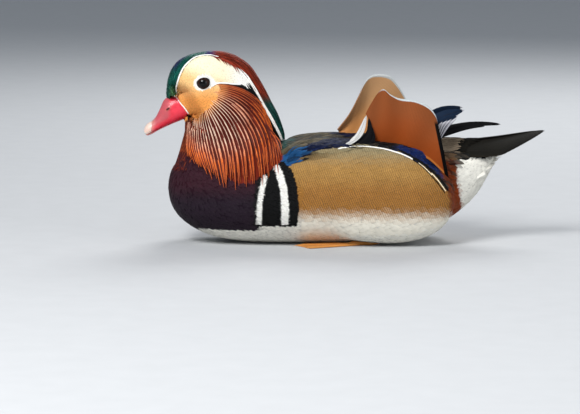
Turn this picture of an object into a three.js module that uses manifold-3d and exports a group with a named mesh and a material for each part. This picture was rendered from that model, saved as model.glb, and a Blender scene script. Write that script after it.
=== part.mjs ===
// A swimming mandarin drake at life size, set down on its belly: millimetres, +Z up, bill towards -X,
// left side towards -Y, with the origin on the floor under the middle of its length and width.
import * as THREE from "three";
import { mergeVertices } from "three/addons/utils/BufferGeometryUtils.js";
import Module from "manifold-3d";

const wasm = await Module();
wasm.setup();
const { lerp } = THREE.MathUtils;

// Sizes that the whole bird shares: the gap between parts, and a half width that reaches beyond its sides
const GAP = 0.3;
const BEYOND = 80;
const LEFT = -1;
const RIGHT = 1;
const SIDES = [
  ["left", LEFT],
  ["right", RIGHT],
];

// Torso, from the bow of the breast to the root of the tail: x, bottom, top and half width of each section
const TORSO_ROWS = [
  [-152.5, 47, 47, 0],
  [-149, 31, 62, 21],
  [-138, 17, 70, 34],
  [-118, 6, 77, 44],
  [-90, 0, 83, 50],
  [-55, -1.5, 87, 53],
  [-15, -1.5, 88, 54],
  [25, -1, 87, 52.5],
  [58, 5, 84, 46],
  [84, 16, 81, 36],
  [103, 29, 79.5, 26],
  [116, 43, 78.5, 18],
  [125, 59, 78, 11],
  [132, 70, 74, 0],
];
const TORSO_WAIST = 0.46;
const TORSO_TOP_POWER = 2.5;
const TORSO_BELLY_POWER = 2.3;
const TORSO_AXIS_HEIGHT = 45;

// Neck and head, from inside the breast to the crown: height, front, back and half width of each section
const NECK_ROWS = [
  [30, -105, -105, 0],
  [34, -138, -72, 34],
  [48, -151, -66, 45],
  [61, -147.5, -64, 40.5],
  [74, -143.2, -62, 35.5],
  [87, -139.6, -61, 30.5],
  [96, -137.4, -60.5, 27.5],
  [104, -138.5, -62, 26.2],
  [112, -147.5, -65, 25.8],
  [122, -153.4, -69, 25.4],
  [131.5, -153.4, -74, 24.6],
  [141, -151.8, -79, 23],
  [149.7, -148.2, -85, 20.4],
  [157, -141.3, -92, 16],
  [161.2, -131.5, -99, 10.8],
  [163.4, -121, -104.5, 5],
  [164, -112, -112, 0],
];
const NECK_WIDEST = 0.42;
const NECK_FRONT_POWER = 2.1;
const NECK_BACK_POWER = 1.65;

// Cuts between the body's parts, each through two points of the side view
const HEAD_CUT = [-139, 101, -50, 107];
const BREAST_CUT = [-150, 62, -50, 84];
const TORSO_CUT = [-38, 20, -50, 90];
const RUMP_CUT = [92, 20, 92, 90];

// Points of the side view that tell the two sides of a cut apart
const CROWN = [-112, 164];
const BELLY = [0, 0];
const BOW = [-150, 50];
const TAIL_END = [170, 94];
const BILL_TIP = [-175, 90];

// Mane: the stretch of the cheek's and neck's side that it grows on, and the half width of the throat between
const THROAT_HALF_WIDTH = 13;
const MANE_OUTLINE = [
  [-150, 101],
  [-131, 102],
  [-121, 110],
  [-114, 121],
  [-108, 134],
  [-95, 133],
  [-83, 122],
  [-73, 106],
  [-62, 92],
  [-50, 70],
  [-50, 40],
  [-160, 40],
];

// Hackles: the curves of their highest roots and lowest tips, from the throat to the nape, and their tiers
const HACKLE_ROOTS = [
  [-127, 99],
  [-119, 106],
  [-112, 118],
  [-105, 128],
  [-96, 125],
  [-88, 113],
  [-81, 98],
];
const HACKLE_TIPS = [
  [-130, 79],
  [-119, 65],
  [-105, 54],
  [-89, 49],
  [-76, 53],
  [-65, 61],
  [-58, 71],
];
const HACKLE_TIERS = [
  { from: 0.42, to: 1, count: 7 },
  { from: 0.22, to: 0.82, count: 6 },
  { from: 0.02, to: 0.62, count: 4 },
];
const HACKLE = { width: 11, thick: 2, blunt: 1.8, steps: 3, sunk: 1.8, lift: 2.6 };
const HACKLE_BOW = 0.12;
const HACKLE_AXIS = { x: -103, out: 32 };

// Crest: how deep its core lies in the back of the head, and its feathers in tiers down the nape
const CREST_DEPTH = 9;
const CREST_TIERS = [
  { from: 107, to: 86, lift: 9, turns: [-0.34, 0, 0.34] },
  { from: 120, to: 93, lift: 7, turns: [-0.2, 0.2] },
  { from: 134, to: 103, lift: 6, turns: [-0.32, 0, 0.32] },
  { from: 147, to: 115, lift: 4.5, turns: [-0.2, 0.2] },
  { from: 157, to: 131, lift: 3, turns: [-0.2, 0.2] },
];
const CREST = { width: 10, thick: 2.2, blunt: 1.6, steps: 3, sunk: 2 };
const CREST_GATHER = 0.55;

// The strip behind the head that the crest takes: its front, its lowest and highest point, and the heights
// at which its inner edge follows the nape
const CREST_STRIP = { front: -104, low: 86, high: 175, from: 158, apart: 8, count: 10 };

// Bill: the culmen point, the lower edge point and the half width of each section
const BILL_ROWS = [
  [-136, 118, -136, 118, 0],
  [-143, 125.5, -131, 108.2, 9],
  [-149.8, 124.6, -135.4, 106, 9.6],
  [-154.8, 121.4, -140.2, 104, 9.4],
  [-158.5, 113.6, -147, 101.3, 8.6],
  [-162, 106.9, -154.2, 98.1, 7.7],
  [-165.8, 103.1, -160.6, 94.9, 7.1],
  [-170, 100.4, -165.6, 92, 6.7],
  [-172.2, 95.6, -169.2, 90.8, 5.2],
  [-171, 92, -171, 92, 0],
];
const BILL_POWER = 2.2;
const GAPE = [-133, 109.6, -163, 95.4];
const NAIL_CUT = [-164.5, 106, -166.3, 88];
const NOSTRIL = { x: -151.2, y: 8.6, z: 113.6, long: 2.6, deep: 2.2, high: 1.2, tilt: 0.6 };

// Eyes, and the lids as a ring around each
const EYE = { x: -120.6, z: 137.8, radius: 6.4, sink: 4.2 };
const LID = { long: 6.1, high: 5.1, tube: 0.9, out: 3.2, yaw: 0.12, tilt: 0.3, around: 4, along: 10 };

// Flank, wing and shoulder cores: centre, half sizes and tilt about Y
const FLANK = { x: 24, y: 31, z: 43, rx: 70, ry: 29, rz: 41, tilt: 0.1, power: 2.3, around: 18, along: 12 };
const WING = { x: 33, y: 28, z: 79.5, rx: 48, ry: 18, rz: 10, tilt: 0.06, power: 2.4, around: 14, along: 8 };
const SHOULDER = { x: -18, y: 25, z: 82, rx: 37, ry: 24, rz: 9, tilt: -0.04, power: 2.2, around: 14, along: 8 };

// Flank feathers: where the tips of the highest lie, from front to back, and how each is laid
const FLANK_TIPS = [
  [8, 80],
  [30, 82],
  [50, 78],
  [68, 68],
  [80, 55],
  [87, 39],
];
const FLANK_FEATHER = { width: 16, thick: 2.2, blunt: 2.2, steps: 3, sunk: 1.5, lift: 2.6 };
const FLANK_KEEL = 4;
const FLANK_REACH = { back: 32, drop: 8, count: 6, out: 12 };

// Shoulder feathers in tiers, from front to back: where they start and end along the body, and at what angles
const SHOULDER_TIERS = [
  { from: -12, to: 34, turns: [0.26, 0.5] },
  { from: -28, to: 10, turns: [0.3, 0.54, 0.78] },
  { from: -44, to: -12, turns: [0.4, 0.68, 0.96] },
];
const SHOULDER_FEATHER = { width: 12, thick: 2, blunt: 2, steps: 3, sunk: 2, lift: 2.2 };

// The two long pointed shoulder feathers that turn up in front of the sail
const BLADES = [
  { path: [[-27, 33, 86], [-8, 33, 93], [9, 32, 97], [16, 30.5, 113]], width: 8 },
  { path: [[-22, 38, 83], [-4, 38.5, 89], [12, 38, 91], [18, 36, 101]], width: 7 },
];
const BLADE = { thick: 1.2, blunt: 1.5, steps: 4 };

// Folded wing: the fan of secondaries and the stack of primaries, as roots and tips, with the side's y
const SECONDARIES = {
  count: 4,
  roots: [[36, 18, 83], [44, 25, 89]],
  tips: [[88, 27, 80], [92, 24, 95], [101, 12, 113]],
  width: 13,
};
const PRIMARIES = {
  count: 4,
  roots: [[52, 20, 83], [60, 11, 86]],
  tips: [[108, 14, 92], [134, 4, 101]],
  width: 9,
};
const FLIGHT = { thick: 0.9, blunt: 2.6, steps: 3, tip: 0.3 };

// Sails: the foot and the edge of each as curves from front to back, with the side's y
const SAILS = {
  left: {
    foot: [
      [24.5, 30, 88.9],
      [36.5, 34, 86],
      [50.5, 38, 83],
      [65, 41, 77.5],
      [76, 43, 69.5],
      [87, 44, 58.8],
    ],
    edge: [
      [18.5, 29, 114],
      [30.5, 27, 132.8],
      [42, 29, 127.6],
      [58.5, 32, 124.6],
      [70.5, 35, 119.5],
      [77.5, 37, 108],
    ],
  },
  right: {
    foot: [
      [-1, 25, 91],
      [14, 29, 90],
      [32, 33, 87],
      [50, 37, 82],
      [64, 40, 75],
      [77, 43, 64],
    ],
    edge: [
      [7, 26, 111],
      [15, 25, 128],
      [25, 26, 139],
      [38, 28, 139.5],
      [51, 31, 131],
      [63, 35, 113],
    ],
  },
};
const SAIL = { thick: 0.9, bulge: 5, along: 10, up: 6, shaft: 1.9, slope: 0.05 };

// Tail: its quill feathers as a roofed fan, from the middle out, on each side
const TAIL = {
  pairs: 6,
  root: { x: 99, z: 80.5, first: 0.6, apart: 1.6, drop: 2 },
  middleTip: { x: 172, y: 3.2, z: 95.6 },
  outerTip: { x: 134, y: 27, z: 72 },
  feather: { width: 10.5, thick: 0.9, blunt: 2.8, steps: 3, tip: 0.3 },
  roof: 0.42,
  steeper: 0.5,
  shorten: 1.3,
  lower: 1.2,
};

// Coverts on the rump, above and under the tail: how far back they reach and at what angles from the top
const UPPER_COVERTS = [
  { from: 86, to: 113, lift: 4.6, turns: [-0.5, 0, 0.5] },
  { from: 72, to: 100, lift: 3.8, turns: [-0.32, 0.32] },
];
const UNDER_COVERTS = [
  { from: 106, to: 137, lift: 4, turns: [1.8, 2.6] },
  { from: 96, to: 124, lift: 3, turns: [2.2] },
];
const COVERT = { width: 11, thick: 2, blunt: 1.9, steps: 3, sunk: 2 };
const RUMP_AXIS_HEIGHT = 66;

// Feet, tucked under the belly: three webbed toes and the shank behind them
const FOOT = { ankleX: 6, ankleY: 33, long: 46, outer: 0.9, spread: 0.4, turn: 0.1, web: 1.2, webFront: 3 };
const TOE = { width: 4.4, thick: 3.08, blunt: 2.4, start: 6, height: 0.8, beyondWeb: 1.12, steps: 3 };
const SHANK = { heelX: 40, heelY: 27, width: 6, thick: 5, blunt: 4, height: 2.2, rise: 6, lap: 5, steps: 3 };

const range = (count) => Array.from({ length: count }, (_, i) => i);
const vector = (numbers) => new THREE.Vector3(...numbers);
const union = (solids) => wasm.Manifold.union(solids);

// A smooth curve through rows of numbers, read at t from 0 to 1
function readRows(rows, t) {
  const place = Math.min(Math.max(t, 0), 1) * (rows.length - 1);
  const i = Math.min(Math.floor(place), rows.length - 2);
  const f = place - i;
  const before = rows[Math.max(i - 1, 0)];
  const after = rows[Math.min(i + 2, rows.length - 1)];
  return rows[i].map((a, k) => {
    const b = rows[i + 1][k];
    const inAt = (b - before[k]) / 2;
    const outAt = (after[k] - a) / 2;
    const square = f * f;
    const cube = square * f;
    return (
      a * (2 * cube - 3 * square + 1) +
      b * (3 * square - 2 * cube) +
      inAt * (cube - 2 * square + f) +
      outAt * (cube - square)
    );
  });
}

// How often a range is halved to find a row or a point of a skin
const HALVINGS = 24;

// The row whose first number is the given value, where that number only grows along the rows
function rowAt(rows, value) {
  let low = 0;
  let high = 1;
  for (let step = 0; step < HALVINGS; step++) {
    const middle = (low + high) / 2;
    if (readRows(rows, middle)[0] < value) low = middle;
    else high = middle;
  }
  return readRows(rows, (low + high) / 2);
}

const TINY = 1e-6;
const WELD = 1e-3;
const power = (value, exponent) =>
  Math.abs(value) < TINY ? 0 : Math.sign(value) * Math.abs(value) ** exponent;

// Six times the volume inside a closed surface, negative where its faces point in
function insideOf(points, triangles) {
  const [a, b, c] = [0, 1, 2].map(() => new THREE.Vector3());
  let sum = 0;
  for (let i = 0; i < triangles.length; i += 3) {
    a.fromArray(points, 3 * triangles[i]);
    b.fromArray(points, 3 * triangles[i + 1]);
    c.fromArray(points, 3 * triangles[i + 2]);
    sum += a.dot(b.cross(c));
  }
  return sum;
}

// Turns a three.js geometry into a solid whose surface lies a given distance outside the geometry's:
// near points become one, flattened triangles go, and faces are turned to point out
function solidFrom(geometry, grow = 0) {
  const bare = geometry.index ? geometry.toNonIndexed() : geometry.clone();
  bare.deleteAttribute("normal");
  bare.deleteAttribute("uv");
  const merged = mergeVertices(bare, WELD);
  const points = merged.attributes.position;
  const index = merged.index.array;
  const kept = [];
  for (let i = 0; i < index.length; i += 3) {
    const [a, b, c] = [index[i], index[i + 1], index[i + 2]];
    if (a !== b && b !== c && c !== a) kept.push(a, b, c);
  }
  if (insideOf(points.array, kept) < 0) kept.reverse();
  if (grow) {
    merged.setIndex(kept);
    merged.computeVertexNormals();
    const normals = merged.attributes.normal;
    for (let i = 0; i < points.array.length; i++) points.array[i] += grow * normals.array[i];
  }
  return new wasm.Manifold(
    new wasm.Mesh({
      numProp: 3,
      vertProperties: new Float32Array(points.array),
      triVerts: new Uint32Array(kept),
    }),
  );
}

// Moves each point of a geometry to where place says
function shaped(geometry, place, grow = 0) {
  const points = geometry.attributes.position;
  const point = new THREE.Vector3();
  for (let i = 0; i < points.count; i++) {
    point.fromBufferAttribute(points, i);
    place(point);
    points.setXYZ(i, point.x, point.y, point.z);
  }
  return solidFrom(geometry, grow);
}

// A closed form from a sphere whose rings become the sections of a row of sizes
function loft(around, along, grow, section) {
  const place = (p) => {
    const t = Math.acos(THREE.MathUtils.clamp(p.y, -1, 1)) / Math.PI;
    const angle = Math.atan2(p.z, p.x);
    section(p, t, angle < TINY - Math.PI ? Math.PI : angle);
  };
  return shaped(new THREE.SphereGeometry(1, around, along), place, grow);
}

function torsoForm(grow = 0) {
  return loft(24, 20, grow, (p, t, angle) => {
    const [x, bottom, top, half] = readRows(TORSO_ROWS, t);
    const waist = bottom + TORSO_WAIST * (top - bottom);
    const up = Math.sin(angle) > 0;
    const bend = 2 / (up ? TORSO_TOP_POWER : TORSO_BELLY_POWER);
    const rise = up ? top - waist : waist - bottom;
    p.set(x, -half * power(Math.cos(angle), bend), waist + rise * power(Math.sin(angle), bend));
  });
}

function neckForm(grow = 0) {
  return loft(20, 24, grow, (p, t, angle) => {
    const [z, front, back, half] = readRows(NECK_ROWS, 1 - t);
    const widest = lerp(front, back, NECK_WIDEST);
    const forward = Math.cos(angle) < 0;
    const bend = 2 / (forward ? NECK_FRONT_POWER : NECK_BACK_POWER);
    const reach = forward ? widest - front : back - widest;
    p.set(widest + reach * power(Math.cos(angle), bend), -half * power(Math.sin(angle), bend), z);
  });
}

// A core like a flattened egg, on one side of the bird
function pad(size, side, grow = 0) {
  const bend = 2 / size.power;
  const sine = Math.sin(size.tilt);
  const cosine = Math.cos(size.tilt);
  const place = (p) => {
    const x = size.rx * power(p.x, bend);
    const y = size.ry * power(p.y, bend);
    const z = size.rz * power(p.z, bend);
    p.set(size.x + x * cosine + z * sine, side * (size.y + y), size.z + z * cosine - x * sine);
  };
  return shaped(new THREE.SphereGeometry(1, size.around, size.along), place, grow);
}

// How far out a point lies in each form, as a share that is 1 on the form's skin
const FAR_OUT = 9;
function torsoShare({ x, y, z }) {
  if (x <= TORSO_ROWS[0][0] || x >= TORSO_ROWS.at(-1)[0]) return Infinity;
  const [, bottom, top, half] = rowAt(TORSO_ROWS, x);
  const waist = lerp(bottom, top, TORSO_WAIST);
  const up = z > waist;
  const bend = up ? TORSO_TOP_POWER : TORSO_BELLY_POWER;
  return (Math.abs(y) / half) ** bend + (Math.abs(z - waist) / (up ? top - waist : waist - bottom)) ** bend;
}

function neckShare({ x, y, z }) {
  if (z <= NECK_ROWS[0][0] || z >= NECK_ROWS.at(-1)[0]) return Infinity;
  const [, front, back, half] = rowAt(NECK_ROWS, z);
  const widest = lerp(front, back, NECK_WIDEST);
  const forward = x < widest;
  const bend = forward ? NECK_FRONT_POWER : NECK_BACK_POWER;
  return (Math.abs(x - widest) / (forward ? widest - front : back - widest)) ** bend + (Math.abs(y) / half) ** bend;
}

function padShare(size, { x, y, z }) {
  const sine = Math.sin(size.tilt);
  const cosine = Math.cos(size.tilt);
  const along = (x - size.x) * cosine - (z - size.z) * sine;
  const up = (x - size.x) * sine + (z - size.z) * cosine;
  const out = Math.abs(y) - size.y;
  return [along / size.rx, out / size.ry, up / size.rz].reduce((sum, k) => sum + Math.abs(k) ** size.power, 0);
}

const coreShare = (p) => Math.min(torsoShare(p), neckShare(p));
const flankShare = (p) => Math.min(torsoShare(p), padShare(FLANK, p));
const backShare = (p) => Math.min(flankShare(p), padShare(WING, p), padShare(SHOULDER, p));

// A ray into a skin: how far out it starts, its strides, and how far to each side its normal is read
const RAY = { reach: 120, stride: 2, probe: 0.5 };

// The outermost point of a skin along a ray, and the skin's normal there
function skinAt(share, origin, direction) {
  const at = (r) => origin.clone().addScaledVector(direction, r);
  let inner = RAY.reach;
  while (inner > 1 && share(at(inner)) > 1) inner -= RAY.stride;
  let outer = inner + RAY.stride;
  for (let step = 0; step < HALVINGS; step++) {
    const middle = (inner + outer) / 2;
    if (share(at(middle)) > 1) outer = middle;
    else inner = middle;
  }
  const point = at(inner);
  const normal = new THREE.Vector3();
  for (const axis of ["x", "y", "z"]) {
    const ahead = point.clone();
    const behind = point.clone();
    ahead[axis] += RAY.probe;
    behind[axis] -= RAY.probe;
    normal[axis] = Math.min(share(ahead), FAR_OUT) - Math.min(share(behind), FAR_OUT);
  }
  return { point, normal: normal.normalize() };
}

// Where the rings of a feather lie along it, closer towards the tip
const RING_CROWDING = 1.5;
const ringAt = (i, last) => 1 - (1 - i / last) ** RING_CROWDING;

// Frames of a feather that rises from under a skin: ray(t) gives the ray that meets the skin at each step
function framesOver(share, { steps, sunk, lift }, ray) {
  return range(steps + 1).map((i) => {
    const t = ringAt(i, steps);
    const { point, normal } = skinAt(share, ...ray(t));
    point.addScaledVector(normal, lerp(-sunk, lift, Math.sqrt(t)));
    return { point, normal };
  });
}

// Frames along a curve through points of one side, with normals that face the given way
function framesAlong(points, side, facing, steps) {
  const mirror = (numbers) => vector([numbers[0], side * numbers[1], numbers[2]]);
  return range(steps + 1).map((i) => ({
    point: mirror(readRows(points, ringAt(i, steps))),
    normal: mirror(facing),
  }));
}

// A feather's width at its root, as a share of its full width, and how fast it widens
const ROOT_SHARE = 0.65;
const WIDENING = 1.4;

// A tapered feather along its frames: a ridged lock of diamond section, or a flat vane of oblong section
function feather(frames, { width, thick, blunt, tip = 0, flat = false }, grow = 0) {
  const last = frames.length - 1;
  const corner = flat ? Math.SQRT2 : 1;
  const place = (p) => {
    const i = Math.round((p.y + 0.5) * last);
    const { point, normal } = frames[i];
    const ahead = frames[Math.min(i + 1, last)].point;
    const along = ahead.clone().sub(frames[Math.max(i - 1, 0)].point).normalize();
    const across = along.clone().cross(normal).normalize();
    const up = across.clone().cross(along);
    const t = ringAt(i, last);
    const taper = i < last ? (1 - t ** blunt) ** (1 / blunt) : tip;
    const wide = corner * p.x * ((width / 2) * taper * Math.min(1, ROOT_SHARE + WIDENING * t) + grow);
    const deep = corner * p.z * ((thick / 2) * Math.sqrt(taper) + grow);
    p.copy(point).addScaledVector(across, wide).addScaledVector(up, deep);
    if (i === last) p.addScaledVector(along, grow);
  };
  const turn = flat ? Math.PI / 4 : 0;
  return shaped(new THREE.CylinderGeometry(1, 1, 1, 4, last, false, turn), place);
}

// A thin sheet with the same triangles on both faces; place(u, v) gives a point and its face normal
function sheet(nu, nv, place, thickness) {
  const corners = [];
  for (const face of [0.5, -0.5])
    for (let i = 0; i <= nu; i++)
      for (let j = 0; j <= nv; j++) {
        const { point, normal, share = 1 } = place(i / nu, j / nv);
        corners.push(point.clone().addScaledVector(normal, face * thickness * share));
      }
  const count = (nu + 1) * (nv + 1);
  const at = (i, j) => i * (nv + 1) + j;
  const faces = [];
  const square = (a, b, c, d) => faces.push(a, b, c, a, c, d);
  for (let i = 0; i < nu; i++)
    for (let j = 0; j < nv; j++) {
      const [a, b, c, d] = [at(i, j), at(i + 1, j), at(i + 1, j + 1), at(i, j + 1)];
      square(a, b, c, d);
      faces.push(count + a, count + c, count + b, count + a, count + d, count + c);
    }
  for (let i = 0; i < nu; i++) {
    square(at(i, 0), count + at(i, 0), count + at(i + 1, 0), at(i + 1, 0));
    square(at(i + 1, nv), count + at(i + 1, nv), count + at(i, nv), at(i, nv));
  }
  for (let j = 0; j < nv; j++) {
    square(at(0, j + 1), count + at(0, j + 1), count + at(0, j), at(0, j));
    square(at(nu, j), count + at(nu, j), count + at(nu, j + 1), at(nu, j + 1));
  }
  const geometry = new THREE.BufferGeometry();
  const numbers = faces.flatMap((k) => corners[k].toArray());
  geometry.setAttribute("position", new THREE.Float32BufferAttribute(numbers, 3));
  return solidFrom(geometry);
}

// The part of a solid on the side of a cut where a point of the side view lies, less half the gap
function sideOf(solid, [x1, z1, x2, z2], [x, z]) {
  const long = Math.hypot(x2 - x1, z2 - z1);
  const [nx, nz] = [(z1 - z2) / long, (x2 - x1) / long];
  const turn = Math.sign(nx * (x - x1) + nz * (z - z1));
  return solid.trimByPlane([turn * nx, 0, turn * nz], turn * (nx * x1 + nz * z1) + GAP / 2);
}

const largest = (solid) => solid.decompose().sort((a, b) => b.volume() - a.volume())[0];

// A strip across the bird, with an outline drawn in the side view and moved out by a distance
function strip(outline, halfWidth, out = 0) {
  const count = outline.length;
  const area = outline.reduce((sum, [x, z], i) => {
    const [nextX, nextZ] = outline[(i + 1) % count];
    return sum + x * nextZ - nextX * z;
  }, 0);
  const moved = outline.map(([x, z], i) => {
    const [beforeX, beforeZ] = outline[(i + count - 1) % count];
    const [afterX, afterZ] = outline[(i + 1) % count];
    const long = Math.hypot(afterX - beforeX, afterZ - beforeZ) * Math.sign(area);
    return new THREE.Vector2(x + (out * (afterZ - beforeZ)) / long, z - (out * (afterX - beforeX)) / long);
  });
  const geometry = new THREE.ExtrudeGeometry(new THREE.Shape(moved), {
    depth: 2 * halfWidth,
    bevelEnabled: false,
  });
  geometry.rotateX(Math.PI / 2);
  geometry.translate(0, halfWidth, 0);
  return solidFrom(geometry);
}

// The strip behind the head and nape that the crest takes, a set depth inside the back outline
function crestStrip(inset) {
  const { front, low, high, from, apart, count } = CREST_STRIP;
  const inner = range(count).map((i) => {
    const height = from - apart * i;
    return [rowAt(NECK_ROWS, height)[2] - inset, height];
  });
  return strip([[front, high], ...inner, [0, low], [0, high]], BEYOND);
}

function billForm(grow = 0) {
  return loft(14, 10, grow, (p, t, angle) => {
    const [x1, z1, x2, z2, half] = readRows(BILL_ROWS, t);
    const bend = 2 / BILL_POWER;
    const high = power(Math.sin(angle), bend) / 2;
    p.set(
      (x1 + x2) / 2 + (x1 - x2) * high,
      -half * power(Math.cos(angle), bend),
      (z1 + z2) / 2 + (z1 - z2) * high,
    );
  });
}

function ball(radii, centre, tilt = 0, around = 12) {
  const geometry = new THREE.SphereGeometry(1, around, around - 4);
  geometry.scale(...radii);
  geometry.rotateY(tilt);
  geometry.translate(...centre);
  return solidFrom(geometry);
}

function eyeCentre(side) {
  const { point } = skinAt(neckShare, vector([EYE.x, 0, EYE.z]), vector([0, side, 0]));
  return [EYE.x, point.y - side * EYE.sink, EYE.z];
}

const eyeBall = (side, grow = 0) => ball(Array(3).fill(EYE.radius + grow), eyeCentre(side));

function lidRing(side) {
  const geometry = new THREE.TorusGeometry(1, LID.tube / LID.long, LID.around, LID.along);
  geometry.scale(LID.long, LID.high, LID.long);
  geometry.rotateX(Math.PI / 2);
  geometry.rotateY(LID.tilt);
  geometry.rotateZ(side * LID.yaw);
  const [x, y, z] = eyeCentre(side);
  geometry.translate(x, y + side * LID.out, z);
  return solidFrom(geometry);
}

// Hackles fan from the cheek and the side of the neck over the breast
function hackles(side, grow = 0) {
  return HACKLE_TIERS.flatMap(({ from, to, count }) =>
    range(count).map((i) => {
      const fan = (i + 0.5) / count;
      const root = readRows(HACKLE_ROOTS, fan);
      const tip = readRows(HACKLE_TIPS, fan);
      const frames = framesOver((p) => Math.min(coreShare(p), padShare(SHOULDER, p)), HACKLE, (t) => {
        const way = lerp(from, to, t);
        const bow = HACKLE_BOW * fan * Math.sin(Math.PI * way);
        const x = lerp(root[0], tip[0], way) + bow * (root[1] - tip[1]);
        const z = lerp(root[1], tip[1], way) + bow * (tip[0] - root[0]);
        return [vector([HACKLE_AXIS.x, 0, z]), vector([x - HACKLE_AXIS.x, side * HACKLE_AXIS.out, 0]).normalize()];
      });
      return feather(frames, HACKLE, grow);
    }),
  );
}

// Crest feathers lie down the back of the head, each tier over the next
function crestFeathers(grow = 0) {
  return CREST_TIERS.flatMap(({ from, to, lift, turns }) =>
    turns.map((turn) => {
      const frames = framesOver(neckShare, { ...CREST, lift }, (t) => {
        const z = lerp(from, to, t);
        const [, front, back] = rowAt(NECK_ROWS, z);
        const angle = turn * (1 - CREST_GATHER * t);
        return [vector([lerp(front, back, NECK_WIDEST), 0, z]), vector([Math.cos(angle), Math.sin(angle), 0])];
      });
      return feather(frames, CREST, grow);
    }),
  );
}

// Feathers laid back along the body in tiers, at angles from the top around its long axis
function tiersAlong(tiers, look, share, axisHeight, side, grow) {
  return tiers.flatMap(({ from, to, turns, lift = look.lift }) =>
    turns.map((turn) => {
      const frames = framesOver(share, { ...look, lift }, (t) => {
        const angle = side * turn;
        return [vector([lerp(from, to, t), 0, axisHeight]), vector([0, Math.sin(angle), Math.cos(angle)])];
      });
      return feather(frames, look, grow);
    }),
  );
}

function flankFeathers(side, grow = 0) {
  return range(FLANK_REACH.count).map((i) => {
    const [tipX, tipZ] = readRows(FLANK_TIPS, i / (FLANK_REACH.count - 1));
    const frames = framesOver((p) => padShare(FLANK, p), FLANK_FEATHER, (t) => {
      const x = lerp(tipX - FLANK_REACH.back, tipX, t);
      const z = lerp(tipZ - FLANK_REACH.drop, tipZ, t);
      return [vector([x, side * FLANK.y, FLANK.z]), vector([0, side * FLANK_REACH.out, z - FLANK.z]).normalize()];
    });
    return feather(frames, FLANK_FEATHER, grow);
  });
}

const flankSolid = (side, grow = 0) => union([pad(FLANK, side, grow), ...flankFeathers(side, grow)]);

function blades(side, grow) {
  return BLADES.map(({ path, width }) => {
    const frames = framesAlong(path, side, [0, 1, 0.2], BLADE.steps);
    return feather(frames, { ...BLADE, width, flat: true }, grow);
  });
}

function shoulderSolid(side, grow = 0) {
  const scapulars = tiersAlong(SHOULDER_TIERS, SHOULDER_FEATHER, backShare, TORSO_AXIS_HEIGHT, side, grow);
  return union([pad(SHOULDER, side, grow), ...scapulars, ...blades(side, grow)]);
}

// A fan of flat vanes from a curve of roots to a curve of tips
function fan({ count, roots, tips, width }, side, facing, grow) {
  return range(count).map((i) => {
    const share = i / (count - 1);
    const root = readRows(roots, share);
    const tip = readRows(tips, share);
    const frames = framesAlong([root, tip], side, facing, FLIGHT.steps);
    return feather(frames, { ...FLIGHT, width, flat: true }, grow);
  });
}

function wingSolid(side, grow = 0) {
  return union([
    pad(WING, side, grow),
    ...fan(SECONDARIES, side, [-0.2, 0.9, 0.5], grow),
    ...fan(PRIMARIES, side, [-0.2, 0.55, 0.8], grow),
  ]);
}

function sailForm(side, { foot, edge }) {
  const place = (u, v) => {
    const low = vector(readRows(foot, u));
    const high = vector(readRows(edge, u));
    const point = low.clone().lerp(high, v);
    point.y += SAIL.bulge * Math.sin(Math.PI * v);
    const along = vector(readRows(foot, Math.min(u + SAIL.slope, 1)))
      .sub(vector(readRows(foot, Math.max(u - SAIL.slope, 0))))
      .normalize();
    const normal = along.cross(high.sub(low).normalize()).normalize();
    point.y *= side;
    normal.y *= side;
    const ridge = Math.abs(v - 1 / SAIL.up) < TINY;
    return { point, normal, share: ridge ? SAIL.shaft : 1 };
  };
  return sheet(SAIL.along, SAIL.up, place, SAIL.thick);
}

// One tail feather: they lie like roof tiles, the middle pair on top
function tailFeather(side, pair, grow) {
  const share = pair / (TAIL.pairs - 1);
  const { root, middleTip, outerTip } = TAIL;
  const at = [root.x, root.apart * (pair + root.first), root.z - root.drop * pair];
  const tip = [
    lerp(middleTip.x, outerTip.x, share ** TAIL.shorten),
    lerp(middleTip.y, outerTip.y, share),
    lerp(middleTip.z, outerTip.z, share ** TAIL.lower),
  ];
  const roof = TAIL.roof + TAIL.steeper * share;
  const frames = framesAlong([at, tip], side, [0, Math.sin(roof), Math.cos(roof)], TAIL.feather.steps);
  return feather(frames, { ...TAIL.feather, flat: true }, grow);
}

const tailFeathers = (grow = 0) =>
  SIDES.flatMap(([, side]) => range(TAIL.pairs).map((pair) => tailFeather(side, pair, grow)));

function coverts(grow = 0) {
  return [
    ...tiersAlong(UPPER_COVERTS, COVERT, torsoShare, RUMP_AXIS_HEIGHT, RIGHT, grow),
    ...SIDES.flatMap(([, side]) => tiersAlong(UNDER_COVERTS, COVERT, torsoShare, RUMP_AXIS_HEIGHT, side, grow)),
  ];
}

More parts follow.
